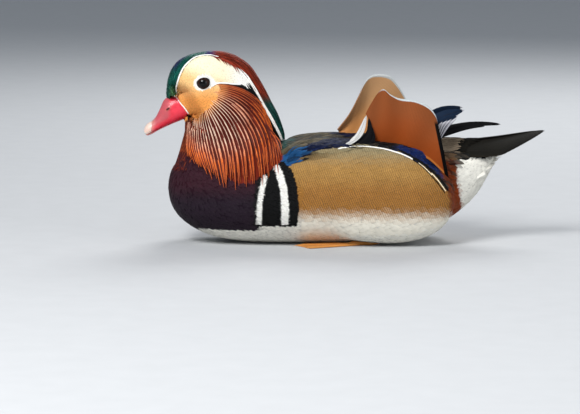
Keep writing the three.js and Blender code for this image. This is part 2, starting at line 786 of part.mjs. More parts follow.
function footSolid(side) {
  const reach = (turn) => FOOT.long * (turn ? FOOT.outer : 1);
  const tipOf = (turn) => [-reach(turn) * Math.cos(turn), reach(turn) * Math.sin(turn)];
  const turns = [-FOOT.spread, 0, FOOT.spread];
  const corners = [[FOOT.webFront, 0], ...turns.map(tipOf)];
  const web = new THREE.Shape(corners.map((corner) => new THREE.Vector2(...corner)));
  const geometry = new THREE.ExtrudeGeometry(web, { depth: FOOT.web, bevelEnabled: false });
  const toes = turns.map((turn) => {
    const [x, y] = tipOf(turn).map((k) => TOE.beyondWeb * k);
    const frames = framesAlong([[TOE.start, 0, TOE.height], [x, y, TOE.height]], RIGHT, [0, 0, 1], TOE.steps);
    return feather(frames, TOE);
  });
  const flat = union([solidFrom(geometry), ...toes]);
  const turned = flat.rotate([0, 0, -side * THREE.MathUtils.radToDeg(FOOT.turn)]);
  const placed = turned.translate([FOOT.ankleX, side * FOOT.ankleY, 0]);
  const bone = framesAlong(
    [
      [SHANK.heelX, SHANK.heelY, SHANK.rise],
      [(SHANK.heelX + FOOT.ankleX) / 2, (SHANK.heelY + FOOT.ankleY) / 2, SHANK.height],
      [FOOT.ankleX - SHANK.lap, FOOT.ankleY, SHANK.height],
    ],
    side,
    [0, 0, 1],
    SHANK.steps,
  );
  return placed.add(feather(bone, SHANK));
}

const colours = {
  bill: 0xd8304a,
  nail: 0xe8cfc0,
  eye: 0x120c0a,
  face: 0xe9b56a,
  crest: 0x17463c,
  throat: 0x7a3417,
  mane: 0xc25a22,
  breast: 0x3a2230,
  torso: 0xe9e2d4,
  rump: 0xe6e0d4,
  flank: 0xb98b46,
  wing: 0x2a3050,
  shoulder: 0x24305c,
  sail: 0xc1632a,
  tail: 0x3d362c,
  foot: 0xd7842e,
};

function material(name) {
  const shine = { bill: 0.35, nail: 0.4, eye: 0.08 }[name] ?? 0.75;
  return new THREE.MeshStandardMaterial({ name, color: colours[name], roughness: shine, metalness: 0 });
}

const duck = new THREE.Group();

// Adds a solid's largest closed surface to the bird as a named mesh
function add(name, solid, look) {
  const { numProp, vertProperties, triVerts } = largest(solid).getMesh();
  const places = new Float32Array((vertProperties.length / numProp) * 3);
  for (let i = 0; i < places.length / 3; i++) {
    places.set(vertProperties.subarray(i * numProp, i * numProp + 3), i * 3);
  }
  const geometry = new THREE.BufferGeometry();
  geometry.setAttribute("position", new THREE.BufferAttribute(places, 3));
  geometry.setIndex(new THREE.BufferAttribute(new Uint32Array(triVerts), 1));
  geometry.computeVertexNormals();
  const mesh = new THREE.Mesh(geometry, material(look));
  mesh.name = name;
  duck.add(mesh);
}

// Forms that cut others clear of themselves, with the gap already in them
const core = torsoForm(GAP).add(neckForm(GAP));
const crestCutter = union(crestFeathers(GAP));
const throatStrip = (solid) =>
  solid.trimByPlane([0, 1, 0], -THROAT_HALF_WIDTH).trimByPlane([0, -1, 0], -THROAT_HALF_WIDTH);

// Head, crest, throat and the mane's two sides, parted from one form
function buildNeck() {
  const whole = neckForm();
  const behind = sideOf(whole.intersect(crestStrip(CREST_DEPTH - GAP / 2)), BREAST_CUT, CROWN);
  add("crest", union([behind, ...crestFeathers()]).subtract(torsoForm(GAP)), "crest");
  const rest = whole.subtract(crestStrip(CREST_DEPTH + GAP / 2)).subtract(crestCutter);

  const manes = strip(MANE_OUTLINE, BEYOND, GAP).subtract(strip(MANE_OUTLINE, THROAT_HALF_WIDTH));
  let head = sideOf(rest, HEAD_CUT, CROWN).subtract(manes).subtract(billForm(GAP));
  for (const [, side] of SIDES) head = head.add(lidRing(side)).subtract(eyeBall(side, GAP));
  add("head", head, "face");

  const aboveBreast = sideOf(sideOf(rest, BREAST_CUT, CROWN), TORSO_CUT, BOW);
  add("neck", throatStrip(sideOf(aboveBreast, HEAD_CUT, BELLY)), "throat");

  const skin = neckForm(GAP);
  const others = union([skin.subtract(strip(MANE_OUTLINE, BEYOND)), sideOf(skin, BREAST_CUT, BELLY)]);
  const cutter = union([others, skin.intersect(crestStrip(CREST_DEPTH)), torsoForm(GAP), crestCutter]);
  for (const [name, side] of SIDES) {
    const flesh = aboveBreast.intersect(strip(MANE_OUTLINE, BEYOND));
    const mane = flesh.add(union(hackles(side)).subtract(cutter));
    add(`mane_${name}`, mane.trimByPlane([0, side, 0], THROAT_HALF_WIDTH + GAP), "mane");
  }
  return sideOf(rest, TORSO_CUT, BOW);
}

function buildBill() {
  let bill = billForm();
  for (const [, side] of SIDES) {
    const { x, y, z, long, deep, high, tilt } = NOSTRIL;
    bill = bill.subtract(ball([long, deep, high], [x, side * y, z], tilt, 8));
  }
  const behindNail = sideOf(bill, NAIL_CUT, BELLY);
  add("bill_upper", sideOf(behindNail, GAPE, CROWN), "bill");
  add("bill_lower", sideOf(behindNail, GAPE, BELLY), "bill");
  add("bill_nail", sideOf(bill, NAIL_CUT, BILL_TIP), "nail");
}

// Breast, torso, rump and tail
function buildBody(neckAndHead) {
  const hull = torsoForm().trimByPlane([0, 0, 1], 0);
  const front = sideOf(hull, TORSO_CUT, BOW).add(neckAndHead.trimByPlane([0, 0, 1], 0));
  add("breast", sideOf(front, BREAST_CUT, BELLY), "breast");
  const back = sideOf(hull, TORSO_CUT, TAIL_END);
  const rump = (grow) => union([sideOf(torsoForm(grow), RUMP_CUT, TAIL_END), ...coverts(grow)]);
  add("torso", sideOf(back, RUMP_CUT, BELLY).subtract(union(coverts(GAP))), "torso");
  add("rump", rump(0), "rump");
  add("tail", union(tailFeathers()).subtract(rump(GAP)), "tail");
  return rump(GAP);
}

// Flank, wing, shoulder, sail and foot of one side, each cut clear of the ones before it
function buildSide(name, side, rump) {
  const flankCutter = union([core, flankSolid(side, GAP)]);
  const wingCutter = union([flankCutter, wingSolid(side, GAP)]);
  const hackleCutter = union(hackles(side, GAP));
  const shoulderCutter = union([wingCutter, shoulderSolid(side, GAP)]);
  const tail = union(tailFeathers(GAP));
  add(`flank_${name}`, flankSolid(side).subtract(core).trimByPlane([0, 0, 1], FLANK_KEEL), "flank");
  add(`wing_${name}`, wingSolid(side).subtract(union([flankCutter, rump, tail])), "wing");
  add(`shoulder_${name}`, shoulderSolid(side).subtract(union([wingCutter, hackleCutter])), "shoulder");
  add(`sail_${name}`, sailForm(side, SAILS[name]).subtract(shoulderCutter), "sail");
  const foot = footSolid(side).subtract(flankCutter).trimByPlane([0, 0, 1], 0);
  add(`foot_${name}`, foot, "foot");
}

const neckAndHead = buildNeck();
for (const [name, side] of SIDES) add(`eye_${name}`, eyeBall(side), "eye");
buildBill();
const rump = buildBody(neckAndHead);
for (const [name, side] of SIDES) buildSide(name, side, rump);

export default duck;
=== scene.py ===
import math

import bmesh
import bpy
import numpy as np
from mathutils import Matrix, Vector
from mathutils.bvhtree import BVHTree


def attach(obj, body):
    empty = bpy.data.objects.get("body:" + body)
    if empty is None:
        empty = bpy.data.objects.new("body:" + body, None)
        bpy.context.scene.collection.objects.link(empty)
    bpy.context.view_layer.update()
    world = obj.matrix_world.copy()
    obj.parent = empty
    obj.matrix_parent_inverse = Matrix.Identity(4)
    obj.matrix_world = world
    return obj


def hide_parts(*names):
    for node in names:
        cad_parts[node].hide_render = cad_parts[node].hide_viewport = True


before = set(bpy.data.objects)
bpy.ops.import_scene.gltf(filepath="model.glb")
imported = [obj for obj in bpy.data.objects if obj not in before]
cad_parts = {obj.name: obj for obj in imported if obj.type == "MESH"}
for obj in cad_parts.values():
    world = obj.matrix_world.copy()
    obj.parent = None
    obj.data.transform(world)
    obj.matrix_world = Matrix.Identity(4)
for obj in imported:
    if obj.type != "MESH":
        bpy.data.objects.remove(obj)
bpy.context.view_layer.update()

bl_info = {
    "name": "Perching duck model", "version": (1, 0, 0), "blender": (4, 5, 0),
    "location": "3D View > Sidebar > Duck",
    "description": "Builds a life-size drake with skin, feathers, bill, eyes and feet",
    "category": "Object",
}

MM = 0.001
SIDES = (("left", -1), ("right", 1))

# Sections of the trunk: x, bottom, top, half width
TORSO_ROWS = [
    (-152.5, 47, 47, 0), (-149, 31, 62, 21), (-138, 17, 70, 34), (-118, 6, 77, 44), (-90, 0, 83, 50),
    (-55, -1.5, 87, 53), (-15, -1.5, 88, 54), (25, -1, 87, 52.5), (58, 5, 84, 46), (84, 16, 81, 36),
    (103, 29, 79.5, 26), (116, 43, 78.5, 18), (125, 59, 78, 11), (132, 70, 74, 0),
]
TORSO_WAIST = 0.46
TORSO_TOP_POWER = 2.5
TORSO_BELLY_POWER = 2.3

# Sections of the neck and head: z, front, back, half width
NECK_ROWS = [
    (30, -105, -105, 0), (34, -138, -72, 34), (48, -151, -66, 45), (61, -147.5, -64, 40.5),
    (74, -143.2, -62, 35.5), (87, -139.6, -61, 30.5), (96, -137.4, -60.5, 27.5), (104, -138.5, -62, 26.2),
    (112, -147.5, -65, 25.8), (122, -153.4, -69, 25.4), (131.5, -153.4, -74, 24.6), (141, -151.8, -79, 23),
    (149.7, -148.2, -85, 20.4), (157, -141.3, -92, 16), (161.2, -131.5, -99, 10.8),
    (163.4, -121, -104.5, 5), (164, -112, -112, 0),
]
NECK_WIDEST = 0.42
NECK_FRONT_POWER = 2.1
NECK_BACK_POWER = 1.65

# Swellings of the flank, the folded wing and the shoulder
FLANK = {"at": (24, 31, 43), "radii": (70, 29, 41), "tilt": 0.1, "power": 2.3}
WING = {"at": (33, 28, 79.5), "radii": (48, 18, 10), "tilt": 0.06, "power": 2.4}
SHOULDER = {"at": (-18, 25, 82), "radii": (37, 24, 9), "tilt": -0.04, "power": 2.2}

# Culmen and lower edge of the bill with its half width
BILL_ROWS = [
    (-136, 118, -136, 118, 0), (-143, 125.5, -131, 108.2, 9), (-149.8, 124.6, -135.4, 106, 9.6),
    (-154.8, 121.4, -140.2, 104, 9.4), (-158.5, 113.6, -147, 101.3, 8.6), (-162, 106.9, -154.2, 98.1, 7.7),
    (-165.8, 103.1, -160.6, 94.9, 7.1), (-170, 100.4, -165.6, 92, 6.7), (-172.2, 95.6, -169.2, 90.8, 5.2),
    (-171, 92, -171, 92, 0),
]
BILL_POWER = 2.2
GAPE = ((-133, 109.6), (-163, 95.4))
NAIL_CUT = ((-164.5, 106), (-166.3, 88))
NOSTRIL = {"x": -151.2, "z": 114.6, "long": 2.6, "high": 1.1, "deep": 1.5, "tilt": 0.6}

# The line where the bill's side ends: a point on it, its normal and how far the cheek narrows
BILL_EDGE = {"x": -143.6, "z": 125.2, "nx": 0.867, "nz": 0.497, "reach": 17.0}
EYE = {"x": -120.6, "z": 137.6, "tilt": 0.36}

# The side drawing: one unit is 0.86 mm, and a near point is seen a little higher
DRAWING_UNIT = 0.86
DRAWING_RISE = 0.8687
DRAWING_X = 344.5
DRAWING_WATER = 196.6
WATER_HEIGHT = 38
NEAR_RISE = 0.1228


def draw_x(x):
    return x / DRAWING_UNIT + DRAWING_X


def draw_y(y, z):
    return DRAWING_WATER - (z - WATER_HEIGHT - NEAR_RISE * np.abs(y)) / DRAWING_RISE


def model_x(across):
    return (across - DRAWING_X) * DRAWING_UNIT


def model_z(down, out=0.0):
    return (DRAWING_WATER - down) * DRAWING_RISE + WATER_HEIGHT + NEAR_RISE * out


def linear(hexadecimal):
    """The scene's linear colour of a named paint."""
    value = int(hexadecimal.lstrip("#"), 16)
    parts = [((value >> shift) & 255) / 255 for shift in (16, 8, 0)]
    return tuple(c / 12.92 if c <= 0.04045 else ((c + 0.055) / 1.055) ** 2.4 for c in parts)


# The plumage's colours and the sizes, in millimetres, as read from the scene's settings
PAINT = {}
SIZE = {}


def read_rows(rows, t):
    """A smooth reading along rows of sizes, t from 0 to 1."""
    place = min(max(t, 0), 1) * (len(rows) - 1)
    i = min(int(place), len(rows) - 2)
    f = place - i
    before = rows[max(i - 1, 0)]
    after = rows[min(i + 2, len(rows) - 1)]
    result = []
    for k, (a, b) in enumerate(zip(rows[i], rows[i + 1])):
        enter = (b - before[k]) / 2
        leave = (after[k] - a) / 2
        square, cube = f * f, f * f * f
        result.append(
            a * (2 * cube - 3 * square + 1)
            + b * (3 * square - 2 * cube)
            + enter * (cube - 2 * square + f)
            + leave * (cube - square)
        )
    return result


def power(value, exponent):
    return 0.0 if abs(value) < 1e-6 else math.copysign(abs(value) ** exponent, value)


def torso_point(t, angle):
    x, bottom, top, half = read_rows(TORSO_ROWS, t)
    waist = bottom + TORSO_WAIST * (top - bottom)
    up = math.sin(angle) > 0
    bend = 2 / (TORSO_TOP_POWER if up else TORSO_BELLY_POWER)
    rise = top - waist if up else waist - bottom
    return Vector((x, -half * power(math.cos(angle), bend), waist + rise * power(math.sin(angle), bend)))


def neck_point(t, angle):
    z, front, back, half = read_rows(NECK_ROWS, 1 - t)
    widest = front + NECK_WIDEST * (back - front)
    forward = math.cos(angle) < 0
    bend = 2 / (NECK_FRONT_POWER if forward else NECK_BACK_POWER)
    reach = widest - front if forward else back - widest
    return Vector((widest + reach * power(math.cos(angle), bend), -half * power(math.sin(angle), bend), z))


def bill_point(t, angle):
    x1, z1, x2, z2, half = read_rows(BILL_ROWS, t)
    bend = 2 / BILL_POWER
    high = power(math.sin(angle), bend) / 2
    return Vector(
        (
            (x1 + x2) / 2 + (x1 - x2) * high,
            -half * power(math.cos(angle), bend),
            (z1 + z2) / 2 + (z1 - z2) * high,
        )
    )


def add_loft(bm, around, along, point_at):
    """A ball whose rings become the sections that point_at gives."""
    ball = bmesh.ops.create_uvsphere(bm, u_segments=around, v_segments=along, radius=1)
    for v in ball["verts"]:
        t = math.acos(min(max(v.co.z, -1), 1)) / math.pi
        v.co = point_at(t, math.atan2(v.co.y, v.co.x))
    return ball["verts"]


def add_pad(bm, pad, side):
    bend = 2 / pad["power"]
    sine, cosine = math.sin(pad["tilt"]), math.cos(pad["tilt"])
    ball = bmesh.ops.create_uvsphere(bm, u_segments=32, v_segments=20, radius=1)
    for v in ball["verts"]:
        x, y, z = (r * power(c, bend) for r, c in zip(pad["radii"], v.co))
        v.co = Vector(
            (
                pad["at"][0] + x * cosine + z * sine,
                side * (pad["at"][1] + y),
                pad["at"][2] + z * cosine - x * sine,
            )
        )


def finish_mesh(bm, name, smooth=True):
    """The bmesh, drawn in millimetres, as an object at the origin in metres."""
    bmesh.ops.recalc_face_normals(bm, faces=bm.faces)
    bmesh.ops.scale(bm, vec=(MM, MM, MM), verts=bm.verts)
    mesh = bpy.data.meshes.new(name)
    bm.to_mesh(mesh)
    bm.free()
    if smooth:
        mesh.shade_smooth()
    obj = bpy.data.objects.new(name, mesh)
    bpy.context.scene.collection.objects.link(obj)
    return obj


def apply_modifiers(obj):
    graph = bpy.context.evaluated_depsgraph_get()
    made = bpy.data.meshes.new_from_object(obj.evaluated_get(graph))
    obj.modifiers.clear()
    obj.data = made
    obj.data.name = obj.name
    return obj


# Markings, drawn from the side in drawing units
FOREHEAD = [
    (150, 103), (164, 103), (177, 97.5), (177.5, 90), (179.4, 83), (181.9, 76), (185, 70), (190, 64.4),
    (195, 60.6), (201, 58), (208.8, 57.3), (215, 58), (219, 59), (213, 50), (209, 30), (150, 30),
]
CROWN = [
    (209, 30), (213, 50), (219, 59), (225, 60.6), (232.5, 63.8), (238.8, 67.5), (245, 73), (250, 78.8),
    (253.8, 87.5), (258, 95), (262, 100.5), (275, 96), (300, 96), (300, 30),
]
NAPE = [
    (262, 100.5), (267.5, 108), (273.8, 117.5), (278.8, 126), (283.8, 139), (281, 150), (286.5, 150),
    (288.5, 134), (285, 121), (279, 108), (274, 96),
]
BROW = [
    (177, 97.5), (177.5, 90), (179.4, 83), (181.9, 76), (185, 70), (190, 64.4), (195, 60.6), (201, 58),
    (208.8, 57.3), (215, 58), (219, 59), (225, 60.6), (232.5, 63.8), (238.8, 67.5), (245, 73), (250, 78.8),
    (253.8, 87.5), (258, 95), (262, 100.5), (258.8, 102), (255, 97), (251, 92), (246, 87.5), (241, 85.6),
    (233.8, 85.6), (225, 84.8), (218.8, 84.8), (221, 92.5), (220, 96), (218, 101), (215, 106), (210, 110),
    (203, 115), (197, 121), (192, 118), (186, 122), (172, 118), (164, 104),
]
EYE_RING = [
    (194.5, 84), (194.8, 88), (198, 92), (204, 92.8), (210, 90.3), (215, 87), (220, 85.5), (216, 83.5),
    (212.5, 79), (208, 76.2), (203, 76), (197.5, 79),
]
EAR_BAND = [
    (233, 86.5), (241, 85.6), (246, 87.5), (251, 92), (255, 97), (258.8, 102), (263.5, 108), (270.5, 119),
    (276.5, 129), (282, 141.5), (281, 149), (276, 141), (271, 130), (265, 117.5), (257.5, 105), (251, 97),
    (245, 91),
]
THROAT = [
    (160, 116), (184, 117.5), (190, 117.5), (197, 121), (200, 130), (202, 145), (204, 157), (198, 157),
        (186, 152),
    (176, 153), (160, 160), (160, 113),
]
MANE = [
    (197, 121), (203, 115), (210, 110), (215, 106), (218, 101), (220, 96), (221, 92.5), (218.8, 84.8),
    (233, 85), (245, 91), (257.5, 105), (271, 130), (281, 149), (283, 160), (270, 172), (250, 184),
    (230, 180), (215, 170), (204, 157), (200, 135),
]
BREAST = [
    (140, 156), (160, 158), (176, 153), (186, 152), (198, 157), (262, 150), (268, 175), (262, 205),
    (258, 232), (140, 245),
]
BACK = [
    (262, 150), (284, 100), (470, 100), (485, 139), (478, 146), (455, 155), (446, 165), (440, 165),
    (400, 155), (340, 150), (300, 156), (285, 168),
]
OLIVE_SHOULDER = [
    (284, 128), (310, 131), (330, 126), (350, 126), (348, 137), (325, 141), (303, 147), (290, 153), (283,
        160),
    (278, 150),
]
BLUE_SHOULDER = [
    (288, 153), (303, 146), (318, 141), (334, 137.5), (352, 133.5), (360, 137), (352, 143), (340, 148.8),
    (322, 149.5), (310, 153), (298, 160), (290, 166), (284, 165),
]
# A painted turquoise glint on the blue feathers at the shoulder's front corner
TURQUOISE_GLINT = [
    (283, 168), (280, 160), (288, 152), (300, 149.5), (303, 153), (297, 160), (290, 167),
]
FLANK_AREA = [
    (284, 170), (290, 166), (298, 160), (310, 153), (322, 149.5), (340, 149), (350, 146.8), (362, 146),
    (380, 148), (395, 152), (405, 157), (413, 162), (425, 171), (435, 181), (443, 190), (452, 207),
    (440, 226), (400, 234), (296, 234), (296, 205), (292, 185),
]
BAR_AREA = [
    (256, 178), (264, 172), (272, 163), (283, 162), (292, 171), (297, 186), (299, 207), (297, 226),
    (254, 226), (254, 205),
]
FIRST_BAR = [(263, 174), (268, 177), (265, 190), (262.5, 205), (262, 224), (256.5, 224), (257.5, 205),
    (260, 190)]
SECOND_BAR = [
    (273, 163), (279, 166), (284, 176), (287.5, 190), (289, 207), (288.5, 224), (281.5, 224), (281.5, 207),
    (280.5, 192), (277, 178),
]
WING_SHADE = [
    (330, 151), (372, 136), (437, 136), (449, 182), (444, 192), (435, 181), (425, 171), (413, 162), (405,
        157),
    (395, 152), (380, 148), (362, 146), (350, 146.8),
]
WING_EDGE = [
    (385, 147), (397, 147), (412, 151), (428, 159), (440, 170), (449, 180), (446, 184), (436, 176), (424,
        167),
    (410, 159), (398, 153.5),
]
RUMP_AREA = [
    (430, 120), (476, 120), (474, 141), (467, 146), (464, 150), (451, 154), (454, 162), (446, 168), (436,
        168),
]
RUMP_STRIPE = [
    (436, 160), (452, 159), (454, 166), (454.5, 178), (457, 193), (460, 206), (461, 224), (448, 224), (446,
        196),
    (442, 186), (436, 174),
]
UNDERTAIL = [
    (452, 162), (456, 160.5), (474, 159), (490, 158.5), (520, 148), (530, 170), (490, 215), (470, 240),
        (461, 240),
    (460, 206), (457.5, 193), (455, 172),
]
TAIL_BASE = [
    (451, 154), (464, 150), (467, 146), (474, 141), (476, 120), (540, 120), (540, 150), (500, 157), (490,
        158.5),
    (474, 159), (456, 160.5), (452, 162),
]


SPINE_HALF = 14


def inside(outline, across, down):
    """Which points of the side drawing an outline holds."""
    held = np.zeros(len(across), bool)
    for (x1, y1), (x2, y2) in zip(outline, outline[1:] + outline[:1]):
        if y1 == y2:
            continue
        crossing = (y1 > down) != (y2 > down)
        held ^= crossing & (across < (x2 - x1) * (down - y1) / (y2 - y1) + x1)
    return held


def ramp(value, low, high):
    part = np.clip((value - low) / (high - low), 0, 1)
    return part * part * (3 - 2 * part)


def blend(a, b, share):
    return a + (b - a) * np.asarray(share)[:, None]


def paint_head(across, down, colour, gloss):
    """Colours of the head in its side drawing, later layers over earlier ones."""
    mane = inside(MANE, across, down)
    colour[mane] = PAINT["maroon"]
    throat = inside(THROAT, across, down)
    colour[throat] = blend(PAINT["throat"], PAINT["rust"], 0.55 * ramp(down[throat], 128, 158))
    brow = inside(BROW, across, down)
    a, d = across[brow], down[brow]
    face = blend(PAINT["buff"], PAINT["ochre"], ramp(d, 84, 104))
    face = blend(face, PAINT["cream"], ramp(86 - d + 0.35 * (a - 190), 4, 22))
    face = blend(face, PAINT["white"], ramp(a, 222, 244))
    colour[brow] = face
    ear = inside(EAR_BAND, across, down)
    colour[ear] = PAINT["black"]
    gloss[ear] = 0.3
    forehead = inside(FOREHEAD, across, down)
    a, d = across[forehead], down[forehead]
    rim = np.maximum(1 - ramp(np.hypot(a - 207, d - 84), 30.5, 35.5), ramp(d, 64, 76))
    tone = blend(PAINT["purple"], PAINT["green"], rim)
    tone = blend(tone, PAINT["olive"], 0.6 * ramp(d, 84, 93) * ramp(a, 168, 173))
    colour[forehead] = tone
    gloss[forehead] = 1
    crown = inside(CROWN, across, down)
    colour[crown] = blend(PAINT["purple"], PAINT["copper"], ramp(across[crown], 211, 222))
    gloss[crown] = 0.5
    nape = inside(NAPE, across, down)
    colour[nape] = blend(PAINT["copper"], PAINT["crest_green"], ramp(down[nape], 96, 106))
    gloss[nape] = 0.8
    colour[inside(EYE_RING, across, down)] = PAINT["white"]


def paint_body(points, across, down, colour, gloss):
    """Colours of the trunk, from the same drawing."""
    back = inside(BACK, across, down)
    colour[back] = PAINT["bronze"]
    breast = inside(BREAST, across, down)
    # The breast darkens towards its bottom: painted shade, together with the darker tone of wet feathers
    colour[breast] = blend(PAINT["breast"], PAINT["breast_dark"], ramp(down[breast], 182, 204))
    gloss[breast] = 0.15
    flank = inside(FLANK_AREA, across, down)
    d = down[flank]
    tone = blend(PAINT["flank_grey"], PAINT["flank"], ramp(d, 148, 172))
    tone = blend(tone, PAINT["flank_low"], 0.7 * ramp(d, 172, 196))
    tone = blend(tone, PAINT["belly"], ramp(d, 206, 226))
    colour[flank] = tone
    for outline, paint, sheen in (
        (OLIVE_SHOULDER, "olive_brown", 0.2),
        (BLUE_SHOULDER, "scapular_blue", 0.46),
        (TURQUOISE_GLINT, "turquoise_glint", 0.6),
        (BAR_AREA, "black", 0.2),
        (FIRST_BAR, "white", 0),
        (SECOND_BAR, "white", 0),
        (WING_SHADE, "black", 0.3),
        (WING_EDGE, "wing_blue", 0.5),
        (RUMP_AREA, "rump", 0),
        (RUMP_STRIPE, "stripe", 0),
        (UNDERTAIL, "belly", 0),
        (TAIL_BASE, "tail", 0),
    ):
        held = inside(outline, across, down)
        colour[held] = PAINT[paint]
        gloss[held] = sheen
    spine = back & (np.abs(points[:, 1]) < SPINE_HALF + 3 * np.sin(points[:, 0] * 0.35))
    colour[spine] = PAINT["bronze"]
    gloss[spine] = 0.2
    low = points[:, 2] < 14 + 8 * ramp(points[:, 0], -60, 60)
    keep = low & (across > 200)
    colour[keep] = PAINT["belly"]
    gloss[keep] = 0


def markings(points):
    """The plumage's colour and gloss at points of the skin, in millimetres."""
    points = np.asarray(points, float)
    across = draw_x(points[:, 0])
    down = draw_y(points[:, 1], points[:, 2])
    colour = np.tile(PAINT["belly"], (len(points), 1))
    gloss = np.zeros(len(points))
    paint_body(points, across, down, colour, gloss)
    paint_head(across, down, colour, gloss)
    return colour, gloss


class Skin:
    """The bird's bare surface, for laying feathers on."""

    def __init__(self, mesh):
        count = len(mesh.vertices)
        self.points = np.empty(count * 3)
        mesh.vertices.foreach_get("co", self.points)
        self.points = self.points.reshape(-1, 3) / MM
        self.normals = np.empty(count * 3)
        mesh.vertices.foreach_get("normal", self.normals)
        self.normals = self.normals.reshape(-1, 3)
        mesh.calc_loop_triangles()
        self.triangles = np.empty(len(mesh.loop_triangles) * 3, int)
        mesh.loop_triangles.foreach_get("vertices", self.triangles)
        self.triangles = self.triangles.reshape(-1, 3)
        self.tree = BVHTree.FromPolygons(self.points.tolist(), self.triangles.tolist())
        corners = self.points[self.triangles]
        cross = np.cross(corners[:, 1] - corners[:, 0], corners[:, 2] - corners[:, 0])
        self.areas = np.linalg.norm(cross, axis=1) / 2
        self.centres = corners.mean(axis=1)

    def near(self, point):
        place, normal, _, _ = self.tree.find_nearest(point)
        return place, normal

    def from_side(self, x, z, side):
        """The skin where it is seen from the side, or its nearest edge."""
        hit, normal, _, _ = self.tree.ray_cast(Vector((x, side * 120, z)), Vector((0, -side, 0)))
        if hit is None or abs(normal.y) < 0.25:
            hit, normal = self.near(Vector((x, side * 16, z)))
        return hit, normal

    def scatter(self, wanted, spacing, seed):
        """Even random roots on the triangles that wanted() keeps."""
        across = draw_x(self.centres[:, 0])
        down = draw_y(self.centres[:, 1], self.centres[:, 2])
        face_normals = self.normals[self.triangles].mean(axis=1)
        mask = wanted(self.centres, face_normals, across, down)
        chosen = np.nonzero(mask)[0]
        if not len(chosen):
            return np.empty((0, 3)), np.empty((0, 3))
        rng = np.random.default_rng(seed)
        area = self.areas[chosen]
        tries = int(area.sum() / spacing**2 * 3.2)
        picked = chosen[rng.choice(len(chosen), tries, p=area / area.sum())]
        r1 = np.sqrt(rng.random(tries))[:, None]
        r2 = rng.random(tries)[:, None]
        a, b, c = (self.points[self.triangles[picked, k]] for k in range(3))
        places = a * (1 - r1) + b * (r1 * (1 - r2)) + c * (r1 * r2)
        na, nb, nc = (self.normals[self.triangles[picked, k]] for k in range(3))
        normals = na * (1 - r1) + nb * (r1 * (1 - r2)) + nc * (r1 * r2)
        normals /= np.linalg.norm(normals, axis=1)[:, None]
        cells = {}
        kept = []
        limit = spacing * spacing
        keys = np.floor(places / spacing).astype(int).tolist()
        listed = places.tolist()
        steps = [(i, j, k) for i in (-1, 0, 1) for j in (-1, 0, 1) for k in (-1, 0, 1)]
        for index, (key, place) in enumerate(zip(keys, listed)):
            free = True
            for i, j, k in steps:
                other = cells.get((key[0] + i, key[1] + j, key[2] + k))
                if other is None:
                    continue
                for q in other:
                    if (q[0] - place[0]) ** 2 + (q[1] - place[1]) ** 2 + (q[2] - place[2]) ** 2 < limit:
                        free = False
                        break
                if not free:
                    break
            if free:
                cells.setdefault(tuple(key), []).append(place)
                kept.append(index)
        return places[kept], normals[kept]


